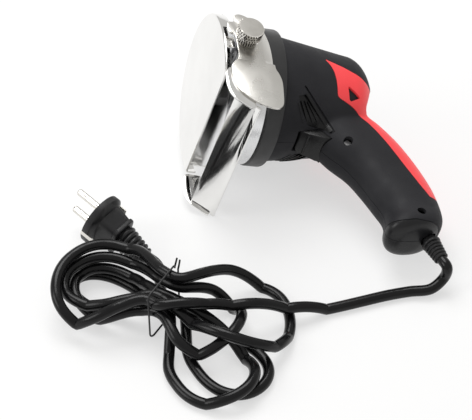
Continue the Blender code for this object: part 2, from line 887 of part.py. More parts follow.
def back_inlay(looks, tool):
    """Red inlay that wraps over the back of the barrel and the grip."""
    band = prism(inlay_outline(), "X", -FAR, FAR)
    skin = cut(common(body_solid(), band), body_solid(INLAY_DEPTH))
    window = prism(scaled(INLAY_WINDOW_SHARES, -GRIP_SWEEP, GRIP_DROP), "X", -FAR, 0.0)
    place("back_inlay", cut(skin, window), looks["red"], tool)


def housing_screws(looks, tool):
    """Two screws that hold the housing halves together."""
    places = scaled(HOUSING_SCREW_SHARES, -GRIP_SWEEP, GRIP_DROP)
    for name, centre in zip(HOUSING_SCREW_NAMES, places):
        head_end = -HOUSING_HEAD_DEPTH - FIT
        head = rod("X", HOUSING_HEAD_RADIUS, head_end - HOUSING_HEAD_HEIGHT, head_end, centre)
        overlap = head_end - HOUSING_HEAD_HEIGHT * 0.5
        shank = rod("X", HOUSING_SHANK_RADIUS, overlap, HOUSING_SHANK_REACH, centre)
        place(name, join(head, shank), looks["steel"], tool)


def trigger_group(looks, tool):
    """Trigger, its spring, and the switch behind it."""
    body = prism(trigger_outline(), "X", -TRIGGER_HALF_WIDTH, TRIGGER_HALF_WIDTH)
    wide = TRIGGER_HALF_WIDTH + TRIGGER_FLANGE_REACH
    inset = TRIGGER_FLANGE
    flange = box(
        -wide,
        wide,
        TRIGGER_REAR,
        TRIGGER_REAR + TRIGGER_FLANGE,
        TRIGGER_BOTTOM + inset,
        TRIGGER_TOP - inset,
    )
    spring_front = SWITCH_FRONT + FIT + SPRING_WIRE + SPRING_LENGTH
    pocket_end = spring_front + TRIGGER_TRAVEL + SPRING_WIRE + FIT
    pocket_radius = SPRING_RADIUS + SPRING_WIRE + POCKET_WALL
    pocket = rod("Y", pocket_radius, TRIGGER_REAR - OVERRUN, pocket_end, (0.0, TRIGGER_MIDDLE))
    origin = (0.0, TRIGGER_REAR, TRIGGER_MIDDLE)
    place("trigger", cut(join(body, flange), pocket), looks["trigger"], tool, origin)
    points = []
    for step in range(SPRING_TURNS * SPRING_STEPS + 1):
        share = step / (SPRING_TURNS * SPRING_STEPS)
        angle = 2.0 * math.pi * SPRING_TURNS * share
        along = SWITCH_FRONT + FIT + SPRING_WIRE + SPRING_LENGTH * share
        x = SPRING_RADIUS * math.cos(angle)
        z = TRIGGER_MIDDLE + SPRING_RADIUS * math.sin(angle)
        points.append((x, along, z))
    tube_piece("trigger_spring", points, SPRING_WIRE, LOOP_SIDES, looks["steel"], tool)
    half = SWITCH_HALF_WIDTH
    block = box(-half, half, SWITCH_BACK, SWITCH_FRONT, SWITCH_LOW, SWITCH_TOP)
    plunger_front = SWITCH_FRONT + SWITCH_GAP * 0.7
    middle = (0.0, TRIGGER_MIDDLE)
    plunger = rod("Y", PLUNGER_RADIUS, SWITCH_FRONT - WALL, plunger_front, middle)
    place("switch_body", join(block, plunger), looks["dark"], tool)
    capacitor = box(
        -CAPACITOR_HALF_WIDTH,
        CAPACITOR_HALF_WIDTH,
        -CAPACITOR_SWEEP - CAPACITOR_DEPTH * 0.5,
        -CAPACITOR_SWEEP + CAPACITOR_DEPTH * 0.5,
        -CAPACITOR_DROP - CAPACITOR_LENGTH * 0.5,
        -CAPACITOR_DROP + CAPACITOR_LENGTH * 0.5,
    )
    place("suppressor_capacitor", capacitor, looks["yellow"], tool)


def strain_relief(looks, tool):
    """Ribbed boot where the lead leaves the heel of the grip."""
    neck = RELIEF_NECK_LENGTH / RELIEF_LENGTH
    profile = [
        (0.0, 0.0),
        (RELIEF_NECK_RADIUS, 0.0),
        (RELIEF_NECK_RADIUS, RELIEF_NECK_LENGTH),
    ]
    for index in range(2 * RELIEF_RIBS + 1):
        share = index / (2 * RELIEF_RIBS)
        radius = RELIEF_RADIUS + (RELIEF_END_RADIUS - RELIEF_RADIUS) * share
        sunk = RELIEF_RIB_DEPTH if index % 2 else 0.0
        profile.append((radius - sunk, RELIEF_LENGTH * (neck + (1.0 - neck) * share)))
    profile.append((0.0, RELIEF_LENGTH))
    mesh = revolve(profile, SMALL_SIDES)
    mesh.transform(relief_matrix())
    place("strain_relief", mesh, looks["rubber"], tool, tuple(RELIEF_START))


def gear_case(looks, head):
    """Black ring in front of the housing, with its sleeve and front web."""
    bore = SLEEVE_RADIUS - SLEEVE_WALL
    web_back = CASE_FRONT - CASE_WEB
    mesh = revolve([
        (bore, -SLEEVE_LENGTH),
        (SLEEVE_RADIUS, -SLEEVE_LENGTH),
        (SLEEVE_RADIUS, CASE_BACK),
        (CASE_RADIUS, CASE_BACK),
        (CASE_RADIUS, CASE_FRONT),
        (SHAFT_RADIUS + SHEET, CASE_FRONT),
        (SHAFT_RADIUS + SHEET, web_back),
        (bore, web_back),
    ])
    shaft_hole = rod("Y", LAY_SHAFT_RADIUS + FIT, 0.0, RING_FRONT, (0.0, CENTRE_DISTANCE))
    tools = [shaft_hole]
    screw_end = RING_FRONT - RING_SCREW_LENGTH - FIT
    for angle in RING_SCREW_ANGLES:
        centre = on_circle(FASTENER_CIRCLE, angle)
        tools.append(rod("Y", FASTENER_RADIUS + FIT, screw_end, RING_FRONT, centre))
    place("gear_case", cut(mesh, *tools), looks["case"], head)


def bearing_ring(looks, head):
    """Aluminium ring that carries both spindle bearings."""
    seat = BEARING_RADIUS + FIT
    lip = BEARING_RADIUS - BEARING_LIP
    hub = seat + RING_HUB_WALL
    rim = RING_RADIUS - RING_RIM_WALL
    face = RING_FRONT - RING_FACE
    spacer_back = REAR_BEARING_FRONT + FIT
    spacer_front = spacer_back + BEARING_SPACER
    mesh = revolve([
        (seat, RING_BACK),
        (hub, RING_BACK),
        (hub, face),
        (rim, face),
        (rim, RING_BACK),
        (RING_RADIUS, RING_BACK),
        (RING_RADIUS, RING_FRONT),
        (seat, RING_FRONT),
        (seat, spacer_front),
        (lip, spacer_front),
        (lip, spacer_back),
        (seat, spacer_back),
    ])
    tools = []
    for angle in RING_SCREW_ANGLES:
        centre = on_circle(FASTENER_CIRCLE, angle)
        tools.append(rod("Y", FASTENER_RADIUS + FIT, 0.0, RING_FRONT + OVERRUN, centre))
        head_seat = RING_FRONT - FASTENER_HEAD_HEIGHT - 2.0 * FIT
        tools.append(rod("Y", FASTENER_HEAD + FIT, head_seat, RING_FRONT + OVERRUN, centre))
    for angle in LEG_ANGLES:
        centre = on_circle(FASTENER_CIRCLE, angle)
        low = RING_FRONT - GUARD_SCREW_LENGTH
        tools.append(rod("Y", FASTENER_RADIUS + FIT, low, RING_FRONT + OVERRUN, centre))
    low = RING_FRONT - GUARD_SCREW_LENGTH
    tools.append(rod("Y", FASTENER_RADIUS + FIT, low, RING_FRONT + OVERRUN, post_screw_place()))
    place("bearing_ring", cut(mesh, *tools), looks["aluminium"], head)


def cap_screw(name, centre, under_head, tip, looks, head):
    """Screw along Y with a round head in front of its shank."""
    top = rod("Y", FASTENER_HEAD, under_head, under_head + FASTENER_HEAD_HEIGHT, centre)
    middle = under_head + FASTENER_HEAD_HEIGHT * 0.5
    shank = rod("Y", FASTENER_RADIUS, tip, middle, centre)
    place(name, join(top, shank), looks["steel"], head)


def head_screws(looks, head):
    """Screws of the bearing ring, the guard's feet and the guide post."""
    for index, angle in enumerate(RING_SCREW_ANGLES):
        centre = on_circle(FASTENER_CIRCLE, angle)
        under = RING_FRONT - FASTENER_HEAD_HEIGHT - FIT
        tip = RING_FRONT - RING_SCREW_LENGTH
        cap_screw(f"ring_screw_{index + 1}", centre, under, tip, looks, head)
    for index, angle in enumerate(LEG_ANGLES):
        centre = on_circle(FASTENER_CIRCLE, angle)
        under = RING_FRONT + 2.0 * FIT + SHEET
        tip = RING_FRONT - GUARD_SCREW_LENGTH + FIT
        cap_screw(f"guard_screw_{index + 1}", centre, under, tip, looks, head)
    under = RING_FRONT + POST_DEPTH - FASTENER_HEAD_HEIGHT - FIT
    tip = RING_FRONT - GUARD_SCREW_LENGTH + FIT
    cap_screw("post_screw", post_screw_place(), under, tip, looks, head)


def post_screw_place():
    """Cross coordinates of the screw through the guide post."""
    return (-POST_INNER - FASTENER_HEAD - 2.0 * FIT, SCREW_LIFT)


def bearing(name, back, looks, head):
    """Ball bearing with its front shield set back between its races."""
    front = back + BEARING_WIDTH
    bore = SHAFT_RADIUS + FIT
    mesh = revolve([
        (bore, back),
        (BEARING_RADIUS, back),
        (BEARING_RADIUS, front),
        (BEARING_RADIUS - RACE_WALL, front),
        (BEARING_RADIUS - RACE_WALL, front - SHIELD_DEPTH),
        (bore + RACE_WALL, front - SHIELD_DEPTH),
        (bore + RACE_WALL, front),
        (bore, front),
    ], SHAFT_SIDES)
    place(name, mesh, looks["steel"], head)


def spindle_group(looks, head):
    """Spindle with its gear, the blade, its hub and its nut."""
    nut_front = NUT_BACK + NUT_HEIGHT
    shoulder = HUB_FRONT - FIT
    mesh = revolve([
        (0.0, SPINDLE_START),
        (SHAFT_RADIUS, SPINDLE_START),
        (SHAFT_RADIUS, shoulder),
        (THREAD_RADIUS, shoulder),
        (THREAD_RADIUS, nut_front),
        (0.0, nut_front),
    ], SHAFT_SIDES)
    place("spindle", mesh, looks["steel"], head)
    wheel = prism(gear_outline(SPINDLE_TEETH, 0.5 * math.pi + math.pi / SPINDLE_TEETH), "Y",
                  SPINDLE_GEAR_BACK, SPINDLE_GEAR_FRONT)
    bore = rod("Y", SHAFT_RADIUS + FIT, 0.0, RING_BACK, sides=SHAFT_SIDES)
    place("spindle_gear", cut(wheel, bore), looks["gear"], head)
    hole = SHAFT_RADIUS + FIT
    nose_back = FRONT_BEARING_FRONT + FIT
    nose_front = RING_FRONT + 2.0 * FIT
    mesh = revolve([
        (hole, nose_back),
        (HUB_NOSE_RADIUS, nose_back),
        (HUB_NOSE_RADIUS, nose_front),
        (HUB_SLEEVE_RADIUS, nose_front),
        (HUB_SLEEVE_RADIUS, HUB_FLANGE_BACK),
        (HUB_FLANGE_RADIUS, HUB_FLANGE_BACK),
        (HUB_FLANGE_RADIUS, HUB_FRONT),
        (hole, HUB_FRONT),
    ], SHAFT_SIDES)
    place("blade_hub", mesh, looks["steel"], head)
    bore = THREAD_RADIUS + FIT
    mesh = revolve([
        (bore, BLADE_BACK),
        (BLADE_RADIUS - BLADE_BEVEL, BLADE_BACK),
        (BLADE_RADIUS, BLADE_FRONT - BLADE_THICKNESS * 0.25),
        (BLADE_RADIUS, BLADE_FRONT),
        (bore, BLADE_FRONT),
    ], DISC_SIDES)
    place("blade", mesh, looks["mirror"], head)
    hexagon = circle(NUT_RADIUS, sides=6)
    mesh = cut(prism(hexagon, "Y", NUT_BACK, nut_front), rod("Y", bore, 0.0, GUARD_FRONT))
    place("blade_nut", mesh, looks["steel"], head)


def layshaft_group(looks, head):
    """Layshaft with its pinion, and the wheel that the motor drives."""
    at = (0.0, 0.0, CENTRE_DISTANCE)
    low = -0.5 * math.pi
    shaft = rod("Y", LAY_SHAFT_RADIUS, PLATE_BACK + FIT, CASE_FRONT - FIT)
    pinion = prism(gear_outline(LAY_PINION_TEETH, low), "Y", SPINDLE_START, SPINDLE_GEAR_FRONT)
    mesh = join(pinion, shaft)
    mesh.transform(Matrix.Translation(at))
    place("layshaft", mesh, looks["gear"], head, at)
    outline = gear_outline(LAY_WHEEL_TEETH, low + math.pi / LAY_WHEEL_TEETH)
    wheel = prism(outline, "Y", WHEEL_BACK, WHEEL_FRONT)
    bore = rod("Y", LAY_SHAFT_RADIUS + FIT, PLATE_BACK, SPINDLE_START)
    mesh = cut(wheel, bore)
    mesh.transform(Matrix.Translation(at))
    place("layshaft_gear", mesh, looks["gear"], head, at)


def gear_plate(looks, head):
    """Plate between the motor and the gears."""
    disc = rod("Y", PLATE_RADIUS, PLATE_BACK, PLATE_FRONT, sides=ROUND_SIDES)
    tip = (MOTOR_TEETH * 0.5 + ADDENDUM_SHARE) * GEAR_MODULE
    centre_hole = rod("Y", tip + 2.0 * FIT, CAN_START, 0.0)
    lay_hole = rod("Y", LAY_SHAFT_RADIUS + FIT, CAN_START, 0.0, (0.0, CENTRE_DISTANCE))
    place("gear_plate", cut(disc, centre_hole, lay_hole), looks["steel"], head)


def motor_group(looks, head):
    """Motor with its can, magnets, rotor, brushes and fan."""
    inner = MOTOR_RADIUS - CAN_WALL
    wall = CAN_START - CAN_FRONT
    mesh = revolve([
        (BUSH_RADIUS + FIT, CAN_START),
        (MOTOR_RADIUS, CAN_START),
        (MOTOR_RADIUS, CAN_END),
        (inner, CAN_END),
        (inner, wall),
        (BUSH_RADIUS + FIT, wall),
    ], ROUND_SIDES)
    place("motor_can", mesh, looks["can"], head)
    hole = MOTOR_SHAFT_RADIUS + FIT
    bush = revolve([
        (hole, CAN_START),
        (BUSH_RADIUS, CAN_START),
        (BUSH_RADIUS, wall),
        (hole, wall),
    ], SMALL_SIDES)
    place("front_bush", bush, looks["brass"], head)
    bush = revolve([
        (hole, CAP_FRONT),
        (REAR_BUSH_RADIUS, CAP_FRONT),
        (REAR_BUSH_RADIUS, CAP_BACK),
        (hole, CAP_BACK),
    ], SMALL_SIDES)
    place("rear_bush", bush, looks["brass"], head)
    end_cap = revolve([
        (REAR_BUSH_RADIUS + FIT, CAP_FRONT),
        (MOTOR_RADIUS, CAP_FRONT),
        (MOTOR_RADIUS, CAP_BACK),
        (REAR_BUSH_RADIUS + FIT, CAP_BACK),
    ], ROUND_SIDES)
    place("motor_end_cap", end_cap, looks["dark"], head)
    magnet_radius = inner - FIT
    for name, middle in (("magnet_left", math.pi), ("magnet_right", 0.0)):
        outline = []
        for radius, direction in ((magnet_radius, 1.0), (magnet_radius - MAGNET_THICKNESS, -1.0)):
            for step in range(9):
                share = (step / 8.0 * 2.0 - 1.0) * direction
                angle = middle + MAGNET_HALF_ANGLE * share
                outline.append((radius * math.cos(angle), radius * math.sin(angle)))
        mesh = prism(outline, "Y", CAN_END + MAGNET_INSET, wall - MAGNET_INSET)
        place(name, mesh, looks["dark"], head)
    shaft_front = -SPINDLE_START * 0.5
    mesh = rod("Y", MOTOR_SHAFT_RADIUS, SHAFT_END, shaft_front)
    place("motor_shaft", mesh, looks["steel"], head)
    pinion = prism(gear_outline(MOTOR_TEETH, 0.5 * math.pi), "Y", WHEEL_BACK - FIT, shaft_front)
    place("motor_pinion", cut(pinion, rod("Y", hole, PLATE_BACK, FIT)), looks["gear"], head)
    outline = []
    for index in range(ROTOR_POLES):
        turn = 2.0 * math.pi * index / ROTOR_POLES
        half = math.pi / ROTOR_POLES
        for radius, share in ((1.0, -0.86), (1.0, 0.0), (1.0, 0.86), (0.55, 0.75), (0.55, 1.25)):
            angle = turn + half * share
            x = ROTOR_RADIUS * radius * math.cos(angle)
            outline.append((x, ROTOR_RADIUS * radius * math.sin(angle)))
    bore = rod("Y", hole, CAP_BACK, 0.0)
    mesh = cut(prism(outline, "Y", ROTOR_BACK, ROTOR_FRONT), bore)
    place("rotor_core", mesh, looks["gear"], head)
    coils = (
        ("rotor_coil_front", ROTOR_FRONT + FIT, ROTOR_FRONT + FIT + COIL_LENGTH),
        ("rotor_coil_rear", ROTOR_BACK - FIT - COIL_LENGTH, ROTOR_BACK - FIT),
    )
    for name, back, front in coils:
        bulge = (front - back) * 0.25
        mesh = revolve([
            (hole + FIT, back),
            (COIL_RADIUS - bulge, back),
            (COIL_RADIUS, back + bulge),
            (COIL_RADIUS, front - bulge),
            (COIL_RADIUS - bulge, front),
            (hole + FIT, front),
        ], SMALL_SIDES)
        place(name, mesh, looks["copper"], head)
    commutator_front = COMMUTATOR_BACK + COMMUTATOR_LENGTH
    mesh = revolve([
        (hole, COMMUTATOR_BACK),
        (COMMUTATOR_RADIUS, COMMUTATOR_BACK),
        (COMMUTATOR_RADIUS, commutator_front),
        (hole, commutator_front),
    ], SMALL_SIDES)
    place("commutator", mesh, looks["copper"], head)
    for name, side in (("brush_upper", 1.0), ("brush_lower", -1.0)):
        near = side * (COMMUTATOR_RADIUS + FIT)
        low, high = sorted((near, near + side * BRUSH_HEIGHT))
        half = BRUSH_WIDTH * 0.5
        mesh = box(-half, half, CAN_END, commutator_front - FIT, low, high)
        place(name, mesh, looks["dark"], head)
    outline = []
    for index in range(FAN_BLADES):
        turn = 2.0 * math.pi * index / FAN_BLADES
        gap = math.pi / FAN_BLADES
        for radius in (FAN_HUB_RADIUS, FAN_RADIUS):
            angle = turn - FAN_BLADE * 0.5 / radius
            outline.append((radius * math.cos(angle), radius * math.sin(angle)))
        for radius in (FAN_RADIUS, FAN_HUB_RADIUS):
            angle = turn + FAN_BLADE * 0.5 / radius
            outline.append((radius * math.cos(angle), radius * math.sin(angle)))
        x = FAN_HUB_RADIUS * math.cos(turn + gap)
        outline.append((x, FAN_HUB_RADIUS * math.sin(turn + gap)))
    bore = rod("Y", hole, -FAR, 0.0)
    mesh = cut(prism(outline, "Y", FAN_BACK, FAN_FRONT), bore)
    place("cooling_fan", mesh, looks["dark"], head)


def front_guard(looks, head):
    """Polished pan in front of the blade, with two legs to the bearing ring."""
    inner = GUARD_RADIUS - SHEET
    mesh = revolve([
        (0.0, GUARD_FRONT),
        (GUARD_RADIUS - GUARD_ROLL, GUARD_FRONT),
        (GUARD_RADIUS - GUARD_ROLL * 0.3, GUARD_FRONT - GUARD_ROLL * 0.3),
        (GUARD_RADIUS, GUARD_FRONT - GUARD_ROLL),
        (GUARD_RADIUS, GUARD_BACK),
        (inner, GUARD_BACK),
        (inner, GUARD_INNER - GUARD_ROLL * 0.5),
        (inner - GUARD_ROLL * 0.5, GUARD_INNER),
        (0.0, GUARD_INNER),
    ], DISC_SIDES)
    foot_back = RING_FRONT + FIT
    foot_front = foot_back + SHEET
    shift = Vector((GUARD_SHIFT_X, 0.0, GUARD_SHIFT_Z))
    foot_inner = FASTENER_CIRCLE - FASTENER_HEAD - SHEET - shift.length
    leg_front = GUARD_BACK + OVERRUN
    leg_outer = GUARD_RADIUS - FIT * 0.5
    leg_inner = inner - FIT * 0.5
    profile = [
        (leg_inner, leg_front),
        (leg_outer, leg_front),
        (leg_outer, foot_back),
        (foot_inner, foot_back),
        (foot_inner, foot_front),
        (leg_inner, foot_front),
    ]
    tools = []
    for angle in LEG_ANGLES:
        strip = box(-LEG_WIDTH * 0.5, LEG_WIDTH * 0.5, 0.0, FAR, 0.0, FAR)
        strip.transform(Matrix.Rotation(angle, 4, "Y"))
        mesh = join(mesh, common(revolve(profile, DISC_SIDES), strip))
        centre = on_circle(FASTENER_CIRCLE, angle)
        tools.append(rod("Y", FASTENER_RADIUS + FIT, 0.0, GUARD_BACK, centre))
    mesh.transform(Matrix.Translation(shift))
    tools.append(box(-FAR, FAR, 0.0, FAR, -FAR, -GUARD_CHORD))
    high = GUARD_FRONT - SHEET
    left = -GUARD_RADIUS + RIM_END_DEPTH
    tools.append(box(-FAR, left, 0.0, high, NOTCH_LOW, NOTCH_HIGH))
    tools.append(box(-FAR, left, 0.0, high, -FAR, RIM_END))
    mesh = cut(mesh, *tools)
    place("front_guard", mesh, looks["mirror"], head)


def guide_arm(looks, head):
    """Side plate of the thickness guide, with its slot and bent rear ear."""
    outline = scaled(ARM_OUTLINE_SHARES, GUIDE_REACH, GUIDE_REACH)
    mesh = prism(outline, "X", ARM_OUTER, -ARM_OFFSET)
    half = SCREW_RADIUS + FIT
    slot_start = rod("X", half, -FAR, 0.0, (KNOB_Y, SCREW_LIFT))
    slot_end = rod("X", half, -FAR, 0.0, (KNOB_Y - GUIDE_TRAVEL, SCREW_LIFT))
    slot = box(-FAR, 0.0, KNOB_Y - GUIDE_TRAVEL, KNOB_Y, SCREW_LIFT - half, SCREW_LIFT + half)
    mesh = cut(mesh, join(slot, slot_end, slot_start))
    bm = bmesh.new()
    bm.from_mesh(mesh)
    bend = EAR_BEND_SHARE * GUIDE_REACH
    low = EAR_LOW_SHARE * GUIDE_REACH
    blend = EAR_BLEND_SHARE * GUIDE_REACH
    planes = (
        (Vector((0.0, bend, 0.0)), Vector((0.0, 1.0, 0.0))),
        (Vector((0.0, 0.0, low)), Vector((0.0, 0.0, 1.0))),
        (Vector((0.0, 0.0, low + blend)), Vector((0.0, 0.0, 1.0))),
    )
    for point, normal in planes:
        everything = list(bm.verts) + list(bm.edges) + list(bm.faces)
        bmesh.ops.bisect_plane(bm, geom=everything, plane_co=point, plane_no=normal)
    bmesh.ops.triangulate(bm, faces=bm.faces)
    for vertex in bm.verts:
        back = max(bend - vertex.co.y, 0.0)
        share = min(max((vertex.co.z - low) / blend, 0.0), 1.0)
        vertex.co.x += EAR_SLOPE_SHARE * back * share
    place("guide_arm", solid(bm), looks["mirror"], head)


def slice_deflector(looks, head):
    """Folded strip along the open side of the guard, with an end plate at each side."""
    front = Vector(scaled([STRIP_FRONT_SHARES], GUIDE_REACH, GUIDE_REACH)[0])
    rear = Vector(scaled([STRIP_REAR_SHARES], GUIDE_REACH, GUIDE_REACH)[0])
    along = (rear - front).normalized()
    inward = Vector((along.y, -along.x))
    length = (rear - front).length
    section = (
        (0.0, 0.0),
        (length, 0.0),
        (length, HEM_THICKNESS),
        (length - HEM_WIDTH, HEM_THICKNESS),
        (length - HEM_WIDTH, SHEET),
        (0.0, SHEET),
    )
    outline = [tuple(front + along * first + inward * second) for first, second in section]
    plate_inner = STRIP_RIGHT - SHEET
    mesh = prism(outline, "X", FLANGE_X, STRIP_RIGHT)
    plate_outline = scaled(END_PLATE_SHARES, GUIDE_REACH, GUIDE_REACH)
    right = prism(plate_outline, "X", plate_inner, STRIP_RIGHT + FIT)
    left = prism(plate_outline, "X", FLANGE_X - FIT * 0.5, FLANGE_X + SHEET)
    place("slice_deflector", join(mesh, right, left), looks["mirror"], head)


def guide_post(looks, head):
    """Block on the bearing ring that the thumb screw goes into."""
    back = RING_FRONT + FIT
    front = RING_FRONT + POST_DEPTH
    mesh = box(
        FLANGE_X + FIT,
        -POST_INNER,
        back,
        front,
        SCREW_LIFT - POST_HALF_HEIGHT,
        SCREW_LIFT + POST_HALF_HEIGHT,
    )
    depth = -ARM_OFFSET + SCREW_ENTRY + FIT
    hole = rod("X", SCREW_RADIUS + FIT, -FAR, depth, (KNOB_Y, SCREW_LIFT))
    centre = post_screw_place()
    head_seat = front - FASTENER_HEAD_HEIGHT - 2.0 * FIT
    bore = rod("Y", FASTENER_RADIUS + FIT, 0.0, FAR, centre)
    counterbore = rod("Y", FASTENER_HEAD + FIT, head_seat, FAR, centre)
    place("guide_post", cut(mesh, hole, bore, counterbore), looks["steel"], head)


def knurled(radius):
    """Outline of a knurled round."""
    points = []
    for index in range(2 * KNURL_TEETH):
        sunk = KNURL_DEPTH if index % 2 else 0.0
        angle = math.pi * index / KNURL_TEETH
        first = KNOB_Y + (radius - sunk) * math.cos(angle)
        second = SCREW_LIFT + (radius - sunk) * math.sin(angle)
        points.append((first, second))
    return points


def thumb_screw(looks, head):
    """Knurled thumb screw and the collar under it."""
    origin = (ARM_OUTER, KNOB_Y, SCREW_LIFT)
    centre = (KNOB_Y, SCREW_LIFT)
    collar_inner = ARM_OUTER - FIT
    collar_outer = collar_inner - COLLAR_HEIGHT
    knob_inner = collar_outer - KNOB_NECK
    knob_outer = knob_inner - KNOB_HEIGHT
    rim = knob_outer + KNURL_DEPTH
    mesh = prism(knurled(KNOB_RADIUS), "X", rim, knob_inner)
    cap = rod("X", KNOB_RADIUS - 3.0 * KNURL_DEPTH, knob_outer, rim + FIT, centre, 30)
    neck = rod("X", KNOB_NECK_RADIUS, rim + FIT, collar_outer - FIT, centre)
    shank = rod("X", SCREW_RADIUS, rim + FIT, -ARM_OFFSET + SCREW_ENTRY, centre)
    place("thumb_screw", join(mesh, cap, neck, shank), looks["nickel"], head, origin)
    collar = prism(knurled(COLLAR_RADIUS), "X", collar_outer, collar_inner)
    bore = rod("X", SCREW_RADIUS + FIT, -FAR, 0.0, centre)
    place("lock_collar", cut(collar, bore), looks["nickel"], head, origin)


def mixed(one, two, low, high, time):
    """Point between two points by time."""
    share = (time - low) / (high - low)
    return one * (1.0 - share) + two * share


def smooth_path(knots, step):
    """Points a small step apart on a smooth curve through knots."""
    rail = [2.0 * knots[0] - knots[1], *knots, 2.0 * knots[-1] - knots[-2]]
    points = []
    for index in range(1, len(rail) - 2):
        before, here, after, beyond = rail[index - 1: index + 3]
        first = math.sqrt(np.linalg.norm(here - before))
        second = first + math.sqrt(np.linalg.norm(after - here))
        third = second + math.sqrt(np.linalg.norm(beyond - after))
        count = max(round(np.linalg.norm(after - here) / step), 1)
        for part in range(count):
            time = first + (second - first) * part / count
            one = mixed(before, here, 0.0, first, time)
            two = mixed(here, after, first, second, time)
            three = mixed(after, beyond, second, third, time)
            low = mixed(one, two, 0.0, second, time)
            high = mixed(two, three, first, third, time)
            points.append(mixed(low, high, first, second, time))
    points.append(rail[-2])
    return np.array(points)


def travel_along(points):
    """Distance travelled along a row of points."""
    steps = np.linalg.norm(np.diff(points, axis=0), axis=1)
    return np.concatenate(([0.0], np.cumsum(steps)))


def waist_frame():
    """Middle of the hank's waist, and the directions along and across it."""
    along = np.array((math.cos(WAIST_ANGLE), math.sin(WAIST_ANGLE), 0.0))
    across = np.array((-along[1], along[0], 0.0))
    return np.array((WAIST_X, WAIST_Y, WAIST_FLOOR)), along, across


def hank_knots():
    """Knots of the hank: loops left and right of the waist, drawn in there."""
    waist, along, across = waist_frame()
    knots = []
    for angle, length, half_width, lean, start, end in LOBES:
        heading = np.array((math.cos(angle), math.sin(angle), 0.0))
        side = np.array((-heading[1], heading[0], 0.0))
        way = math.copysign(1.0, heading @ along)
        entry = waist + across * start * COLUMN_PITCH
        knots.append(entry - along * way * WAIST_HALF_LENGTH)
        knots.append(entry + along * way * WAIST_HALF_LENGTH)
        for index in range(LOBE_KNOTS + 1):
            share = LOBE_TRIM_SHARE + (1.0 - 2.0 * LOBE_TRIM_SHARE) * index / LOBE_KNOTS
            out = length * math.sin(math.pi * share)
            wide = half_width * math.sin(2.0 * math.pi * share)
            wide += lean * math.sin(math.pi * share) ** 2
            column = start if share < 0.5 else end
            shift = column * COLUMN_PITCH * math.cos(math.pi * share) ** 2
            knot = waist + heading * out + side * wide + across * shift
            knot[2] = TABLE_FLOOR
            knots.append(knot)
    entry = waist + across * LOBES[-1][5] * COLUMN_PITCH
    way = math.copysign(1.0, math.cos(LOBES[-1][0] - WAIST_ANGLE))
    knots.append(entry + along * way * WAIST_HALF_LENGTH)
    knots.append(entry - along * way * WAIST_HALF_LENGTH)
    return knots


def laid_heights(points):
    """Heights of a cord that is laid from its last point to its first, over itself."""
    travel = travel_along(points[:, :2])
    apart = np.linalg.norm(points[:, None, :2] - points[None, :, :2], axis=2)
    ahead = travel[None, :] - travel[:, None]
    crossing = (ahead > CROSSING_REACH) & (apart < LAYER_PITCH)
    lift = np.sqrt(np.maximum(LAYER_PITCH ** 2 - apart ** 2, 0.0))
    hump = ahead ** 2 / (2.0 * HUMP_RADIUS)
    heights = points[:, 2].copy()
    for _ in range(LAYING_ROUNDS):
        needed = np.where(crossing, heights[None, :] + lift, 0.0).max(axis=1)
        heights = np.maximum(heights, (needed[None, :] - hump).max(axis=1))
    return heights


def cord_path(exit_point, exit_heading):
    """Middle line of the whole cord, from the strain relief to the plug's boot."""
    plug_end, plug_heading = plug_frame()
    knots = [exit_point + exit_heading * FIT]
    knots.append(exit_point + exit_heading * CORD_DIAMETER)
    knots += [np.array(knot) for knot in LEAD_ROUTE]
    knots += hank_knots()
    knots.append(plug_end - plug_heading * CORD_DIAMETER)
    knots.append(plug_end - plug_heading * FIT)
    points = smooth_path(knots, CORD_STEP)
    points[:, 2] = laid_heights(points)
    return points


def thinned(points, spacing):
    """Even points along a path, its two ends among them."""
    travel = travel_along(points)
    count = round(travel[-1] / spacing)
    marks = np.linspace(0.0, travel[-1], count + 1)
    return np.stack([np.interp(marks, travel, points[:, axis]) for axis in range(3)], axis=1)


def spaced(points, spacing):
    """Even points along a path that runs straight for a diameter at its ends."""
    travel = travel_along(points)
    last = travel[-1]
    count = round((last - 2.0 * CORD_DIAMETER) / spacing)
    marks = np.linspace(CORD_DIAMETER, last - CORD_DIAMETER, count + 1)
    marks = np.concatenate(([0.0], marks, [last]))
    return np.stack([np.interp(marks, travel, points[:, axis]) for axis in range(3)], axis=1)


def least_gap(points):
    """Least gap between stretches of a tube that are not next to each other."""
    fine = thinned(points, CORD_DIAMETER * 0.1)
    travel = travel_along(fine)
    apart = np.linalg.norm(fine[:, None, :] - fine[None, :, :], axis=2)
    distant = np.abs(travel[None, :] - travel[:, None]) > CROSSING_REACH
    return apart[distant].min() - CORD_DIAMETER


def plug_frame():
    """End of the plug's boot and the direction from there to its face."""
    flat = math.cos(PLUG_TILT)
    heading = (flat * math.cos(PLUG_HEADING), flat * math.sin(PLUG_HEADING), math.sin(PLUG_TILT))
    heading = np.array(heading)
    return np.array((PLUG_X, PLUG_Y, PLUG_HEIGHT)) - heading * PLUG_LENGTH, heading


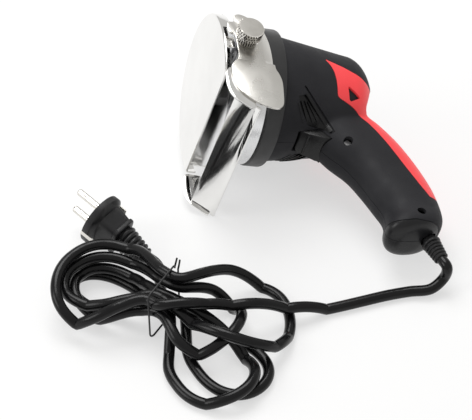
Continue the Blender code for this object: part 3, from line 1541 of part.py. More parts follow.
def cord(looks, root, relief):
    """Free lead, hank and tie."""
    start = relief.matrix_world @ (RELIEF_AXIS * RELIEF_LENGTH)
    heading = (relief.matrix_world.to_3x3() @ RELIEF_AXIS).normalized()
    path = cord_path(np.array(start), np.array(heading))
    travel = travel_along(path)
    waist = waist_frame()[0]
    reach = np.linalg.norm(path[:, :2] - waist[:2], axis=1)
    first = int(np.argmax(reach < HANK_START))
    join_point = path[first]
    tangent = (path[first + 1] - path[first - 1]) / np.linalg.norm(path[first + 1] - path[first - 1])
    before = path[travel < travel[first] - CORD_DIAMETER]
    after = path[travel > travel[first] + CORD_DIAMETER + FIT]
    lead = np.vstack((before, join_point - tangent * CORD_DIAMETER, join_point))
    hank_start = join_point + tangent * FIT
    hank = np.vstack((hank_start, hank_start + tangent * CORD_DIAMETER, after))
    lead = spaced(lead, POINT_SPACING)
    hank = spaced(hank, LOOP_SPACING)
    radius = CORD_DIAMETER * 0.5
    tube_piece("cord_lead", lead, radius, LEAD_SIDES, looks["rubber"], root)
    tube_piece("cord_hank", hank, radius, LOOP_SIDES, looks["rubber"], root)
    print("cord length", round(float(travel[-1]), 4))
    print("highest point of the hank", round(float(hank[:, 2].max()), 4))
    print("hank length", round(float(travel[-1] - travel[first]), 4))
    print("least gap of the hank to itself", round(float(least_gap(hank)), 5))
    print("least gap of the cord to itself", round(float(least_gap(np.concatenate((lead, hank)))), 5))
    cord_tie(looks, root, hank)


def cord_tie(looks, root, hank):
    """Thin wire tie round the waist of the hank, with two free tails."""
    waist, along, across = waist_frame()
    fine = thinned(hank, CORD_STEP)
    near = np.abs((fine - waist) @ along) < TIE_REACH
    near &= np.abs((fine - waist) @ across) < 3.0 * COLUMN_PITCH
    spread = (fine[near] - waist) @ across
    margin = CORD_DIAMETER * 0.5 + TIE_RADIUS + 2.0 * FIT
    left = spread.min() - margin
    right = spread.max() + margin
    top = fine[near][:, 2].max() + margin
    bottom = TIE_RADIUS + FIT
    corner = CORD_DIAMETER * 0.5
    points = []
    centres = (
        (right - corner, top - corner, 0.0),
        (left + corner, top - corner, 0.5),
        (left + corner, bottom + corner, 1.0),
        (right - corner, bottom + corner, 1.5),
    )
    for middle, height, turn in centres:
        for step in range(TIE_CORNER_STEPS + 1):
            angle = math.pi * (turn + 0.5 * step / TIE_CORNER_STEPS)
            points.append((middle + corner * math.cos(angle), height + corner * math.sin(angle)))
    tail = TIE_TAIL
    route = [(right + tail * 0.5, top - corner + tail, -TIE_SHIFT)]
    route.append((right + tail * 0.1, top - corner + tail * 0.3, -TIE_SHIFT))
    for index, (first, second) in enumerate(points):
        slide = TIE_SHIFT * (2.0 * index / (len(points) - 1) - 1.0)
        route.append((first, second, slide))
    route.append((right, top - corner, TIE_SHIFT))
    route.append((right + tail * 0.2, top - corner + tail * 0.4, TIE_SHIFT))
    route.append((right + tail * 0.4, top - corner + tail, TIE_SHIFT))
    base = np.array((waist[0], waist[1], 0.0))
    up = np.array((0.0, 0.0, 1.0))
    wire = [base + across * first + up * second + along * slide for first, second, slide in route]
    tube_piece("cord_tie", wire, TIE_RADIUS, LOOP_SIDES, looks["wire"], root)


def plug_matrix():
    """Frame of the plug, with Y along it toward the pins and its face at zero."""
    turn = Matrix.Rotation(PLUG_HEADING - 0.5 * math.pi, 4, "Z")
    tilt = Matrix.Rotation(PLUG_TILT, 4, "X")
    return Matrix.Translation((PLUG_X, PLUG_Y, PLUG_HEIGHT)) @ turn @ tilt


def plug(looks, root):
    """Moulded plug with two round pins, side earth clips and a ribbed boot."""
    frame = empty("plug_frame", root, plug_matrix())
    profile = [(0.0, 0.0)]
    for radius, back in PLUG_PROFILE_SHARES:
        profile.append((radius * PLUG_RADIUS, -back * PLUG_LENGTH))
    last_radius, last_back = PLUG_PROFILE_SHARES[-1]
    for index in range(1, 2 * BOOT_RIBS + 1):
        share = index / (2 * BOOT_RIBS)
        radius = last_radius + (BOOT_END_SHARE - last_radius) * share
        sunk = BOOT_RIB_SHARE if index % 2 else 0.0
        back = last_back + (1.0 - last_back) * share
        profile.append(((radius - sunk) * PLUG_RADIUS, -back * PLUG_LENGTH))
    profile.append((0.0, -PLUG_LENGTH))
    mesh = revolve(profile, PLUG_SIDES)
    tools = []
    half = CLIP_WIDTH * 0.5
    seat = PLUG_FLAT - CLIP_THICKNESS
    for side in (-1.0, 1.0):
        low, high = sorted((side * PLUG_FLAT, side * FAR))
        tools.append(box(low, high, -FAR, FAR, -FAR, FAR))
        low, high = sorted((side * (seat - FIT), side * FAR))
        tools.append(box(low, high, -CLIP_LENGTH - FIT, FAR, -half - FIT, half + FIT))
        tools.append(rod("Y", PIN_RADIUS + FIT, -PIN_ROOT - FIT, FAR, (0.0, side * PIN_SPACING * 0.5)))
    place("plug_body", cut(mesh, *tools), looks["rubber"], frame)
    for index, side in enumerate((1.0, -1.0)):
        centre = (0.0, side * PIN_SPACING * 0.5)
        tip = PIN_RADIUS * 0.5
        straight = rod("Y", PIN_RADIUS, -PIN_ROOT, PIN_LENGTH - tip, centre, 14)
        bm = bmesh.new()
        bm.from_mesh(straight)
        end = [vertex for vertex in bm.verts if vertex.co.y > 0.0]
        ends = [face for face in bm.faces if all(vertex in end for vertex in face.verts)]
        bmesh.ops.inset_individual(bm, faces=ends, thickness=tip)
        for vertex in ends[0].verts:
            vertex.co.y = PIN_LENGTH
        place(f"plug_pin_{index + 1}", solid(bm), looks["nickel"], frame)
        low, high = sorted((side * seat, side * PLUG_FLAT))
        clip = box(low, high, -CLIP_LENGTH, 0.0, -half, half)
        place(f"earth_clip_{index + 1}", clip, looks["nickel"], frame)


def materials():
    """Materials read from the photo."""
    return {
        "housing": material("black_housing", (0.018, 0.018, 0.020), 0.55, 0.0),
        "case": material("black_case", (0.028, 0.028, 0.031), 0.45, 0.0),
        "red": material("red_inlay", (0.85, 0.045, 0.055), 0.45, 0.0),
        "trigger": material("trigger_black", (0.012, 0.012, 0.013), 0.4, 0.0),
        "rubber": material("cord_rubber", (0.010, 0.010, 0.011), 0.35, 0.0),
        "wire": material("tie_plastic", (0.010, 0.010, 0.011), 0.5, 0.0),
        "mirror": material("polished_steel", (0.75, 0.75, 0.76), 0.08, 1.0),
        "aluminium": material("turned_aluminium", (0.70, 0.71, 0.72), 0.30, 1.0),
        "nickel": material("nickel_plate", (0.66, 0.64, 0.60), 0.25, 1.0),
        "steel": material("steel", (0.55, 0.55, 0.56), 0.35, 1.0),
        "gear": material("gear_steel", (0.35, 0.35, 0.36), 0.4, 1.0),
        "can": material("motor_can_zinc", (0.52, 0.53, 0.54), 0.4, 1.0),
        "brass": material("bush_brass", (0.70, 0.50, 0.22), 0.35, 1.0),
        "copper": material("winding_copper", (0.72, 0.32, 0.16), 0.4, 1.0),
        "dark": material("dark_moulding", (0.030, 0.030, 0.032), 0.5, 0.0),
        "yellow": material("capacitor_yellow", (0.75, 0.55, 0.08), 0.5, 0.0),
    }


def lowest_point(parent):
    """Lowest height of the pieces under a frame."""
    low = math.inf
    for item in parent.children_recursive:
        if item.type != "MESH":
            continue
        low = min(low, min((item.matrix_world @ vertex.co).z for vertex in item.data.vertices))
    return low


def main():
    """Build the whole slicer."""
    clear_scene()
    looks = materials()
    root = empty("slicer", None, Matrix.Identity(4))
    lying = Matrix.Rotation(YAW, 4, "Z") @ Matrix.Rotation(NOSE_UP, 4, "Y")
    lying = lying @ Matrix.Rotation(-0.5 * math.pi, 4, "X") @ Matrix.Rotation(0.5 * math.pi, 4, "Z")
    lying = lying @ Matrix.Rotation(ROLL, 4, "Y")
    tool = empty("tool", root, Matrix.Translation((TOOL_X, TOOL_Y, 0.0)) @ lying)
    head = empty("head", tool, Matrix.Rotation(HEAD_TURN, 4, "Y"))
    housings(looks, tool)
    back_inlay(looks, tool)
    housing_screws(looks, tool)
    trigger_group(looks, tool)
    strain_relief(looks, tool)
    gear_case(looks, head)
    bearing_ring(looks, head)
    head_screws(looks, head)
    bearing("rear_bearing", REAR_BEARING_BACK, looks, head)
    bearing("front_bearing", FRONT_BEARING_BACK, looks, head)
    spindle_group(looks, head)
    layshaft_group(looks, head)
    gear_plate(looks, head)
    motor_group(looks, head)
    front_guard(looks, head)
    guide_arm(looks, head)
    slice_deflector(looks, head)
    guide_post(looks, head)
    thumb_screw(looks, head)
    bpy.context.view_layer.update()
    tool.location.z -= lowest_point(tool)
    bpy.context.view_layer.update()
    cord(looks, root, bpy.data.objects["strain_relief"])
    plug(looks, root)
    bpy.context.view_layer.update()
    corners = []
    for item in tool.children_recursive:
        if item.type == "MESH":
            corners += [item.matrix_world @ vertex.co for vertex in item.data.vertices]
    for axis in (0, 1):
        values = [corner[axis] for corner in corners]
        root.location[axis] = -(min(values) + max(values)) * 0.5
    bpy.context.view_layer.update()


main()
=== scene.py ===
# %% [markdown]
# # An electric kebab slicer
# The slicer lies on its right side on a white table, with its mains lead bundled
# beside it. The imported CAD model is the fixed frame: it says where each piece sits
# and how it moves, and this lesson dresses it. Round and moulded pieces are made
# again with many more faces, and each piece rides on the body it belongs to.
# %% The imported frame
import json
import math

import bmesh
import bpy
import numpy as np
from mathutils import Matrix, Vector


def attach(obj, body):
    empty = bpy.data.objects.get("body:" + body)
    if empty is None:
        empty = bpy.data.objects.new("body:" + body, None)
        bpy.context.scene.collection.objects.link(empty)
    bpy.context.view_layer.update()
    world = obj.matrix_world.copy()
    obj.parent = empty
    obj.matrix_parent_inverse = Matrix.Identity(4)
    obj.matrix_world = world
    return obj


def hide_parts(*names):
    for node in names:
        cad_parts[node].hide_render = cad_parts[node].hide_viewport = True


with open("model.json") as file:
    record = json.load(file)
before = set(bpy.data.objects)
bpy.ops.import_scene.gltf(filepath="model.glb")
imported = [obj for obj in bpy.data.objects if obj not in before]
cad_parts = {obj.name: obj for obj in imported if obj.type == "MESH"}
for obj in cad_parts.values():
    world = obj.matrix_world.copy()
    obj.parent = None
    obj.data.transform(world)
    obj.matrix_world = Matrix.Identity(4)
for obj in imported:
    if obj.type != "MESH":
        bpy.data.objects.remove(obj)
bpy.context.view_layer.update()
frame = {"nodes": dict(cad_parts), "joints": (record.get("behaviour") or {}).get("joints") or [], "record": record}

JOINTS = {joint["name"]: joint for joint in frame["joints"]}

# %% [markdown]
# The slicer's head has its own frame: X to its right side, Y forward from the motor
# to the blade, Z up away from the grip. The joints say where it is: the blade turns
# about Y, and the thumb screw turns about X. The grip and the barrel use the same
# frame turned back by the six degrees that the head is turned on the housing.
# %% Frames of the head and of the grip
HEAD_TURN = math.radians(6.0)


def frame_at(origin, x_axis, y_axis):
    """Matrix of a frame from its origin and two of its axes."""
    x, y = Vector(x_axis).normalized(), Vector(y_axis).normalized()
    turn = Matrix((x, y, x.cross(y))).transposed().to_4x4()
    return Matrix.Translation(origin) @ turn


HEAD = frame_at(
    JOINTS["blade_spin"]["pos_m"], -Vector(JOINTS["thumb_screw_turn"]["axis"]), JOINTS["blade_spin"]["axis"],
)
TOOL = HEAD @ Matrix.Rotation(HEAD_TURN, 4, "Y")
print("head at", [round(value, 4) for value in HEAD.translation])

# %% [markdown]
# The camera stands where the photographer stood: 44 degrees above the table and
# 1.1 m away. A long lens keeps the verticals calm. The table's own zero is where
# the source first laid the pieces out, so it is found back from the head's place.
# %% Camera
PHOTO_WIDTH = 472
FOCAL_PIXELS = 1642.3
SENSOR_WIDTH = 36.0
CAMERA_DISTANCE = 1.1
ELEVATION = math.radians(44.0)
LAID_AT = Vector((0.0200, 0.0534, 0.0))
TABLE_SHIFT = Vector((HEAD.translation.x - LAID_AT.x, HEAD.translation.y - LAID_AT.y, 0.0))



def linked(name, data):
    """Object of some data, in the scene's collection."""
    item = bpy.data.objects.new(name, data)
    bpy.context.scene.collection.objects.link(item)
    return item


def aimed(item, place, back):
    """Object set at a place so that its front looks against a direction."""
    item.location = place
    item.rotation_mode = "QUATERNION"
    item.rotation_quaternion = (-back).to_track_quat("-Z", "Y")


back = Vector((0.0, -math.cos(ELEVATION), math.sin(ELEVATION)))
lens = bpy.data.cameras.new("camera")
lens.sensor_width = SENSOR_WIDTH
lens.lens = SENSOR_WIDTH * FOCAL_PIXELS / PHOTO_WIDTH
camera = linked("camera", lens)
aimed(camera, back * CAMERA_DISTANCE + TABLE_SHIFT, back)
bpy.context.scene.camera = camera
print("camera lens", round(lens.lens, 1), "mm")

# %% [markdown]
# Shader groups keep an effect in one place. Each takes a position and its own
# sizes, and gives back a value that changes over the surface: how far the colour
# drifts, how handling has marked the gloss, or the height of a fine grain. The
# shader itself stays in each material, with its constant values on its own sockets.
# %% Tools for node trees
def new_tree(name, kind, inputs, outputs):
    """Node tree with named sockets and its two end nodes."""
    tree = bpy.data.node_groups.new(name, kind)
    for direction, sockets in (("INPUT", inputs), ("OUTPUT", outputs)):
        for label, socket, value in sockets:
            made = tree.interface.new_socket(label, in_out=direction, socket_type=socket)
            if value is not None:
                made.default_value = value
    return tree, tree.nodes.new("NodeGroupInput"), tree.nodes.new("NodeGroupOutput")


def add(tree, kind, sockets=None, **settings):
    """Node with its settings, and its sockets set to values or linked."""
    node = tree.nodes.new(kind)
    for key, value in settings.items():
        setattr(node, key, value)
    for key, value in (sockets or {}).items():
        if isinstance(value, bpy.types.NodeSocket):
            tree.links.new(value, node.inputs[key])
        else:
            node.inputs[key].default_value = value
    return node


def maths(tree, operation, one, two=0.0, three=None):
    """Result of a maths node."""
    sockets = {0: one, 1: two}
    if three is not None:
        sockets[2] = three
    return add(tree, "ShaderNodeMath", sockets, operation=operation).outputs[0]


# %% Shader groups
FLOAT, VECTOR, COLOUR = "NodeSocketFloat", "NodeSocketVector", "NodeSocketColor"


def new_group(name, size, sockets, result, kind=FLOAT):
    """Shader group of a position, a size and its own sockets, with one result."""
    inputs = [("Position", VECTOR, None), ("Size", FLOAT, size), *sockets]
    return new_tree(name, "ShaderNodeTree", inputs, [(result, kind, None)])


drift, source, sink = new_group(
    "colour_drift", 60.0, [("Low", COLOUR, (0, 0, 0, 1)), ("High", COLOUR, (1, 1, 1, 1))], "Colour", COLOUR,
)
cloud = add(
    drift, "ShaderNodeTexNoise",
    {"Vector": source.outputs["Position"], "Scale": source.outputs["Size"], "Detail": 4.0},
)
tone = add(drift, "ShaderNodeMapRange", {"Value": cloud.outputs[0], "From Min": 0.32, "From Max": 0.68})
blend = add(
    drift, "ShaderNodeMix", {0: tone.outputs[0], 6: source.outputs["Low"], 7: source.outputs["High"]},
    data_type="RGBA",
)
drift.links.new(blend.outputs[2], sink.inputs["Colour"])

marks, source, sink = new_group(
    "handling_marks", 90.0, [("Smooth", FLOAT, 0.3), ("Dull", FLOAT, 0.5)], "Roughness",
)
cloud = add(
    marks, "ShaderNodeTexNoise",
    {"Vector": source.outputs["Position"], "Scale": source.outputs["Size"], "Detail": 6.0, "Distortion": 0.8},
)
tone = add(
    marks, "ShaderNodeMapRange",
    {
        "Value": cloud.outputs[0], "From Min": 0.35, "From Max": 0.65, "To Min": source.outputs["Smooth"],
        "To Max": source.outputs["Dull"],
    },
)
marks.links.new(tone.outputs[0], sink.inputs["Roughness"])

# %% Shader groups for relief
grain, source, sink = new_group("moulded_grain", 1500.0, [("Coarse", FLOAT, 0.3)], "Height")
fine = add(
    grain, "ShaderNodeTexVoronoi", {"Vector": source.outputs["Position"], "Scale": source.outputs["Size"]},
    feature="SMOOTH_F1",
)
wide_scale = maths(grain, "MULTIPLY", source.outputs["Size"], 0.12)
wide = add(
    grain, "ShaderNodeTexNoise", {"Vector": source.outputs["Position"], "Scale": wide_scale, "Detail": 3.0},
)
coarse = maths(grain, "MULTIPLY", wide.outputs[0], source.outputs["Coarse"])
height = maths(grain, "ADD", fine.outputs["Distance"], coarse)
grain.links.new(height, sink.inputs["Height"])

lathe, source, sink = new_group("turned_lines", 3000.0, [], "Height")
parts = add(lathe, "ShaderNodeSeparateXYZ", {0: source.outputs["Position"]})
squares = maths(lathe, "ADD", *[maths(lathe, "MULTIPLY", parts.outputs[i], parts.outputs[i]) for i in (0, 2)])
flat = add(lathe, "ShaderNodeCombineXYZ", {0: maths(lathe, "SQRT", squares), 1: parts.outputs[1]})
lines = add(
    lathe, "ShaderNodeTexNoise", {"Vector": flat.outputs[0], "Scale": source.outputs["Size"], "Detail": 2.0},
)
lathe.links.new(lines.outputs[0], sink.inputs["Height"])

brushed, source, sink = new_group("polishing_lines", 900.0, [], "Height")
long = add(brushed, "ShaderNodeMapping", {"Vector": source.outputs["Position"], "Scale": (1.0, 0.03, 1.0)})
lines = add(
    brushed, "ShaderNodeTexNoise",
    {"Vector": long.outputs[0], "Scale": source.outputs["Size"], "Detail": 3.0},
)
brushed.links.new(lines.outputs[0], sink.inputs["Height"])
print("shader groups:", [tree.name for tree in (drift, marks, grain, lathe, brushed)])

# %% [markdown]
# A finish puts the groups together: two close shades of a colour, a gloss that
# wanders between two levels, and a relief. Metal that is turned or polished keeps
# its lines along the head's axes, so those finishes read the position in the
# head's frame through a Mapping node.
# %% Finishes
GRAINS = {"grain": grain, "turned": lathe, "polished": brushed}
MARK_FINENESS = 1.7  # handling marks are this much finer than the drift of the colour
LOOKS = {}


def finish(
    name, low, high, gloss, metal=0.0, relief="grain", size=1500.0, depth=0.00004, patch=60.0, space=None,
    **constants,
):
    """Principled material of a finish, from its colours, gloss and relief."""
    look = bpy.data.materials.new(name)
    look.use_nodes = True
    tree = look.node_tree
    shader = tree.nodes["Principled BSDF"]
    place = add(tree, "ShaderNodeTexCoord").outputs["Object"]
    if space is not None:
        turned = add(tree, "ShaderNodeMapping", {"Vector": place}, vector_type="TEXTURE")
        turned.inputs["Location"].default_value = space.translation
        turned.inputs["Rotation"].default_value = space.to_euler()
        place = turned.outputs[0]
    values = (
        (drift, {"Position": place, "Size": patch, "Low": (*low, 1.0), "High": (*high, 1.0)}),
        (marks, {"Position": place, "Size": patch * MARK_FINENESS, "Smooth": gloss[0], "Dull": gloss[1]}),
        (GRAINS[relief], {"Position": place, "Size": size}),
    )
    colour, rough, tall = [
        add(tree, "ShaderNodeGroup", sockets, node_tree=made).outputs[0]
        for made, sockets in values
    ]
    bump = add(tree, "ShaderNodeBump", {"Height": tall, "Distance": depth, "Strength": 1.0})
    tree.links.new(colour, shader.inputs["Base Color"])
    tree.links.new(rough, shader.inputs["Roughness"])
    tree.links.new(bump.outputs[0], shader.inputs["Normal"])
    shader.inputs["Metallic"].default_value = metal
    for key, value in constants.items():
        shader.inputs[key.replace("_", " ")].default_value = value
    look.diffuse_color = (*high, 1.0)
    LOOKS[name] = look
    return look


# %% Finishes of plastic and rubber
finish(
    "black_housing", (0.0170, 0.0170, 0.0195), (0.0225, 0.0225, 0.0255), (0.52, 0.62), size=1900.0,
    depth=0.00006, patch=45.0, Specular_IOR_Level=0.17,
)
finish(
    "heel_black", (0.008, 0.008, 0.009), (0.012, 0.012, 0.013), (0.26, 0.36), size=1900.0, depth=0.00002,
    patch=45.0, Specular_IOR_Level=0.32,
)
finish("black_case", (0.016, 0.016, 0.017), (0.022, 0.022, 0.023), (0.36, 0.46), size=2200.0, depth=0.00002)
finish(
    "red_inlay", (0.93, 0.052, 0.060), (0.98, 0.066, 0.075), (0.38, 0.48), size=2000.0, depth=0.00003,
    patch=50.0,
)
finish(
    "trigger_black", (0.004, 0.004, 0.0045), (0.007, 0.007, 0.0075), (0.24, 0.36), size=1600.0, depth=0.00002,
    Specular_IOR_Level=0.30,
)
finish(
    "cord_rubber", (0.004, 0.004, 0.0045), (0.007, 0.007, 0.0075), (0.18, 0.26), size=700.0, depth=0.00003,
    patch=70.0, Specular_IOR_Level=0.24,
)
finish(
    "plug_rubber", (0.008, 0.008, 0.009), (0.013, 0.013, 0.014), (0.36, 0.48), size=1400.0, depth=0.00004,
    Specular_IOR_Level=0.36,
)
finish("tie_plastic", (0.008, 0.008, 0.009), (0.014, 0.014, 0.015), (0.35, 0.5), size=1200.0, depth=0.00002)

# %% Finishes of metal, and of the small parts inside
finish(
    "buffed_plate", (0.66, 0.645, 0.610), (0.72, 0.705, 0.670), (0.26, 0.34), 1.0, "polished", 900.0,
    0.000004, 30.0, HEAD,
)
# Dark nickel for the side band of the knurled cores: painted shade down in the grooves between the ridges.
finish(
    "knurl_painted_shade", (0.035, 0.030, 0.026), (0.06, 0.052, 0.046), (0.38, 0.52), 1.0, size=900.0, depth=0.00001,
)
finish(
    "polished_steel", (0.80, 0.795, 0.78), (0.86, 0.855, 0.84), (0.05, 0.11), 1.0, "polished", 700.0,
    0.0000015, 30.0, HEAD,
)
finish(
    "blade_steel", (0.66, 0.66, 0.67), (0.74, 0.74, 0.75), (0.14, 0.22), 1.0, "turned", 2600.0, 0.000004,
    40.0, HEAD,
)
finish(
    "turned_aluminium", (0.74, 0.745, 0.75), (0.82, 0.825, 0.83), (0.22, 0.32), 1.0, "turned", 1500.0,
    0.00001, 50.0, HEAD,
)
finish("nickel_plate", (0.68, 0.66, 0.62), (0.78, 0.76, 0.72), (0.14, 0.26), 1.0, size=900.0, depth=0.00001)
finish(
    "fastener_steel", (0.46, 0.46, 0.47), (0.58, 0.58, 0.59), (0.26, 0.40), 1.0, size=1500.0, depth=0.00001,
)
finish(
    "gear_steel", (0.26, 0.26, 0.27), (0.38, 0.38, 0.39), (0.30, 0.48), 1.0, "turned", 1800.0, 0.00001, 120.0,
    HEAD,
)
finish("motor_zinc", (0.46, 0.47, 0.48), (0.60, 0.61, 0.62), (0.32, 0.50), 1.0, size=700.0, depth=0.00002)
finish(
    "bush_brass", (0.62, 0.44, 0.18), (0.74, 0.54, 0.25), (0.28, 0.42), 1.0, "turned", 2000.0, 0.00001, 90.0,
    HEAD,
)
finish(
    "winding_copper", (0.62, 0.26, 0.12), (0.76, 0.36, 0.18), (0.28, 0.42), 1.0, "turned", 1400.0, 0.0001,
    90.0, HEAD,
)
finish(
    "dark_moulding", (0.024, 0.024, 0.026), (0.034, 0.034, 0.036), (0.42, 0.56), size=1600.0, depth=0.00003,
)
finish("capacitor_yellow", (0.68, 0.48, 0.06), (0.80, 0.60, 0.10), (0.35, 0.48), size=1200.0, depth=0.00002)
print("finishes:", len(LOOKS))

# %% [markdown]
# Every CAD node gets the finish of its record slot, whether it stays in view or is
# replaced below by a finer piece.
# %% Finishes of the CAD nodes
SLOT_LOOKS = {
    "housing": "black_housing", "case": "black_case", "red": "red_inlay", "trigger": "trigger_black",
    "rubber": "plug_rubber", "wire": "tie_plastic", "mirror": "polished_steel", "nickel": "nickel_plate",
    "aluminium": "turned_aluminium", "steel": "fastener_steel", "gear": "gear_steel", "can": "motor_zinc",
    "brass": "bush_brass", "copper": "winding_copper", "dark": "dark_moulding", "yellow": "capacitor_yellow",
}
SLOTS = {row["node"]: row["material_slot"] for row in frame["record"]["subparts"]}
for name, item in frame["nodes"].items():
    item.data.materials.clear()
    item.data.materials.append(LOOKS[SLOT_LOOKS[SLOTS[name]]])
print("dressed CAD nodes:", len(SLOTS))

# %% [markdown]
# The mains lead is 1.72 m long and 7 mm thick, all of it in the photograph. Its
# middle line repeats the source's route: out of the heel of the grip, along the
# table, then eight loops left and right of a waist, where a wire tie holds them.
# Loops that cross are lifted over each other in long low humps, from the last laid
# back to the first.
# %% Route of the mains lead
FIT = 0.0003
CORD_DIAMETER = 0.0070
CORD_STEP = 0.0015
RELIEF_START = Vector((0.0, -0.0897, -0.1148))
RELIEF_LEAN = math.radians(18)
RELIEF_LENGTH = 0.0210
LEAD_ROUTE = (
    (0.1320, -0.0725, 0.0110), (0.1235, -0.0780, 0.0060), (0.1100, -0.0785, 0.0040),
    (0.0960, -0.0815, 0.0037), (0.0800, -0.0865, 0.0037), (0.0640, -0.0915, 0.0037),
    (0.0460, -0.0965, 0.0037), (0.0280, -0.1010, 0.0037), (0.0090, -0.1060, 0.0037),
    (-0.0080, -0.1090, 0.0037),
)

# %% Sizes of the hank
WAIST = np.array((-0.0450, -0.1010, 0.0060))
WAIST_ANGLE = math.radians(-30)
WAIST_HALF_LENGTH = 0.0060
COLUMN_PITCH = 0.0076
LAYER_PITCH = 0.0078
LOBE_TRIM_SHARE = 0.15
LOBE_KNOTS = 12
HUMP_RADIUS = 0.030
LAYING_ROUNDS = 14
CROSSING_REACH = 0.021
TABLE_FLOOR = 0.0037
LOBES = (  # heading in degrees, length, half width, lean, column in, column out
    (157, 0.068, 0.024, 0.003, -1.5, 1.5), (-7, 0.079, 0.028, 0.0, 1.5, -0.5),
    (156, 0.066, 0.017, 0.002, -0.5, 1.5), (-24, 0.050, 0.019, 0.0, 1.5, -1.5),
    (153, 0.062, 0.014, 0.0, -1.5, 0.5), (-58, 0.081, 0.021, 0.005, 0.5, -0.5),
    (151, 0.066, 0.012, 0.0, -0.5, 0.5), (-51, 0.081, 0.021, 0.009, 0.5, 1.5),
)
ALONG = np.array((math.cos(WAIST_ANGLE), math.sin(WAIST_ANGLE), 0.0))
ACROSS = np.array((-ALONG[1], ALONG[0], 0.0))
PLUG_PLACE = Vector((-0.0897, -0.0268, 0.0193))
PLUG_HEADING = math.radians(142.8)
PLUG_TILT = math.radians(16.8)
PLUG_LENGTH = 0.0435


# %% Knots of the hank
def hank_knots():
    """Knots of the hank: loops left and right of the waist, drawn in there."""
    knots = []
    for degrees, length, half_width, lean, start, end in LOBES:
        angle = math.radians(degrees)
        heading = np.array((math.cos(angle), math.sin(angle), 0.0))
        side = np.array((-heading[1], heading[0], 0.0))
        way = math.copysign(1.0, heading @ ALONG)
        entry = WAIST + ACROSS * start * COLUMN_PITCH
        knots += [entry - ALONG * way * WAIST_HALF_LENGTH, entry + ALONG * way * WAIST_HALF_LENGTH]
        for index in range(LOBE_KNOTS + 1):
            share = LOBE_TRIM_SHARE + (1.0 - 2.0 * LOBE_TRIM_SHARE) * index / LOBE_KNOTS
            bulge = math.sin(math.pi * share)
            wide = half_width * math.sin(2.0 * math.pi * share) + lean * bulge ** 2
            column = start if share < 0.5 else end
            shift = column * COLUMN_PITCH * math.cos(math.pi * share) ** 2
            knot = WAIST + heading * length * bulge + side * wide + ACROSS * shift
            knot[2] = TABLE_FLOOR
            knots.append(knot)
    entry = WAIST + ACROSS * LOBES[-1][5] * COLUMN_PITCH
    way = math.copysign(1.0, math.cos(math.radians(LOBES[-1][0]) - WAIST_ANGLE))
    return knots + [entry + ALONG * way * WAIST_HALF_LENGTH, entry - ALONG * way * WAIST_HALF_LENGTH]


# %% A smooth curve through knots
def mixed(one, two, low, high, time):
    """Point between two points by time."""
    share = (time - low) / (high - low)
    return one * (1.0 - share) + two * share


def smooth_path(knots, step):
    """Points a small step apart on a smooth curve through knots."""
    rail = [2.0 * knots[0] - knots[1], *knots, 2.0 * knots[-1] - knots[-2]]
    points = []
    for index in range(1, len(rail) - 2):
        before, here, after, beyond = rail[index - 1: index + 3]
        first = math.sqrt(np.linalg.norm(here - before))
        second = first + math.sqrt(np.linalg.norm(after - here))
        third = second + math.sqrt(np.linalg.norm(beyond - after))
        count = max(round(np.linalg.norm(after - here) / step), 1)
        for part in range(count):
            time = first + (second - first) * part / count
            one = mixed(before, here, 0.0, first, time)
            two = mixed(here, after, first, second, time)
            three = mixed(after, beyond, second, third, time)
            points.append(mixed(
                mixed(one, two, 0.0, second, time), mixed(two, three, first, third, time), first, second,
                time,
            ))
    points.append(rail[-2])
    return np.array(points)


# %% Heights where the lead crosses itself
def laid_heights(points):
    """Heights of a cord that is laid from its last point to its first, over itself."""
    travel = np.concatenate(([0.0], np.cumsum(np.linalg.norm(np.diff(points[:, :2], axis=0), axis=1))))
    apart = np.linalg.norm(points[:, None, :2] - points[None, :, :2], axis=2)
    ahead = travel[None, :] - travel[:, None]
    crossing = (ahead > CROSSING_REACH) & (apart < LAYER_PITCH)
    lift = np.sqrt(np.maximum(LAYER_PITCH ** 2 - apart ** 2, 0.0))
    hump = ahead ** 2 / (2.0 * HUMP_RADIUS)
    heights = points[:, 2].copy()
    for _ in range(LAYING_ROUNDS):
        needed = np.where(crossing, heights[None, :] + lift, 0.0).max(axis=1)
        heights = np.maximum(heights, (needed[None, :] - hump).max(axis=1))
    return heights


# %% The whole route
SHIFT = np.array(TABLE_SHIFT)
RELIEF_AXIS = Vector((0.0, -math.sin(RELIEF_LEAN), -math.cos(RELIEF_LEAN)))
heading = np.array((TOOL.to_3x3() @ RELIEF_AXIS).normalized())
exit_point = np.array(TOOL @ (RELIEF_START + RELIEF_AXIS * RELIEF_LENGTH)) - SHIFT
flat = math.cos(PLUG_TILT)
plug_way = np.array((flat * math.cos(PLUG_HEADING), flat * math.sin(PLUG_HEADING), math.sin(PLUG_TILT)))
plug_end = np.array(PLUG_PLACE) - plug_way * PLUG_LENGTH
knots = [exit_point + heading * FIT, exit_point + heading * CORD_DIAMETER]
knots += [np.array(knot) for knot in LEAD_ROUTE] + hank_knots()
knots += [plug_end - plug_way * CORD_DIAMETER, plug_end - plug_way * FIT]
route = smooth_path(knots, CORD_STEP)
route[:, 2] = laid_heights(route)

# %% [markdown]
# A tube is a path swept by a round section. Geometry Nodes do that once for every
# tube here: the tree takes a curve, its radius and its number of sides, keeps the
# distance along and around as attributes for the finish, and ends in a material.
# %% A tree that sweeps tubes
def applied(item):
    """Plain mesh of an object with its modifiers applied, and the object removed."""
    bpy.context.view_layer.update()
    graph = bpy.context.evaluated_depsgraph_get()
    mesh = bpy.data.meshes.new_from_object(item.evaluated_get(graph))
    bpy.data.objects.remove(item)
    return mesh


def grown(tree, data, **values):
    """Mesh that a Geometry Nodes tree makes from a mesh or a curve."""
    item = linked("work", data)
    step = item.modifiers.new("tree", "NODES")
    step.node_group = tree
    for socket in tree.interface.items_tree:
        if socket.name in values:
            step[socket.identifier] = values[socket.name]
    return applied(item)


GEOMETRY, MATERIAL, WHOLE = "NodeSocketGeometry", "NodeSocketMaterial", "NodeSocketInt"


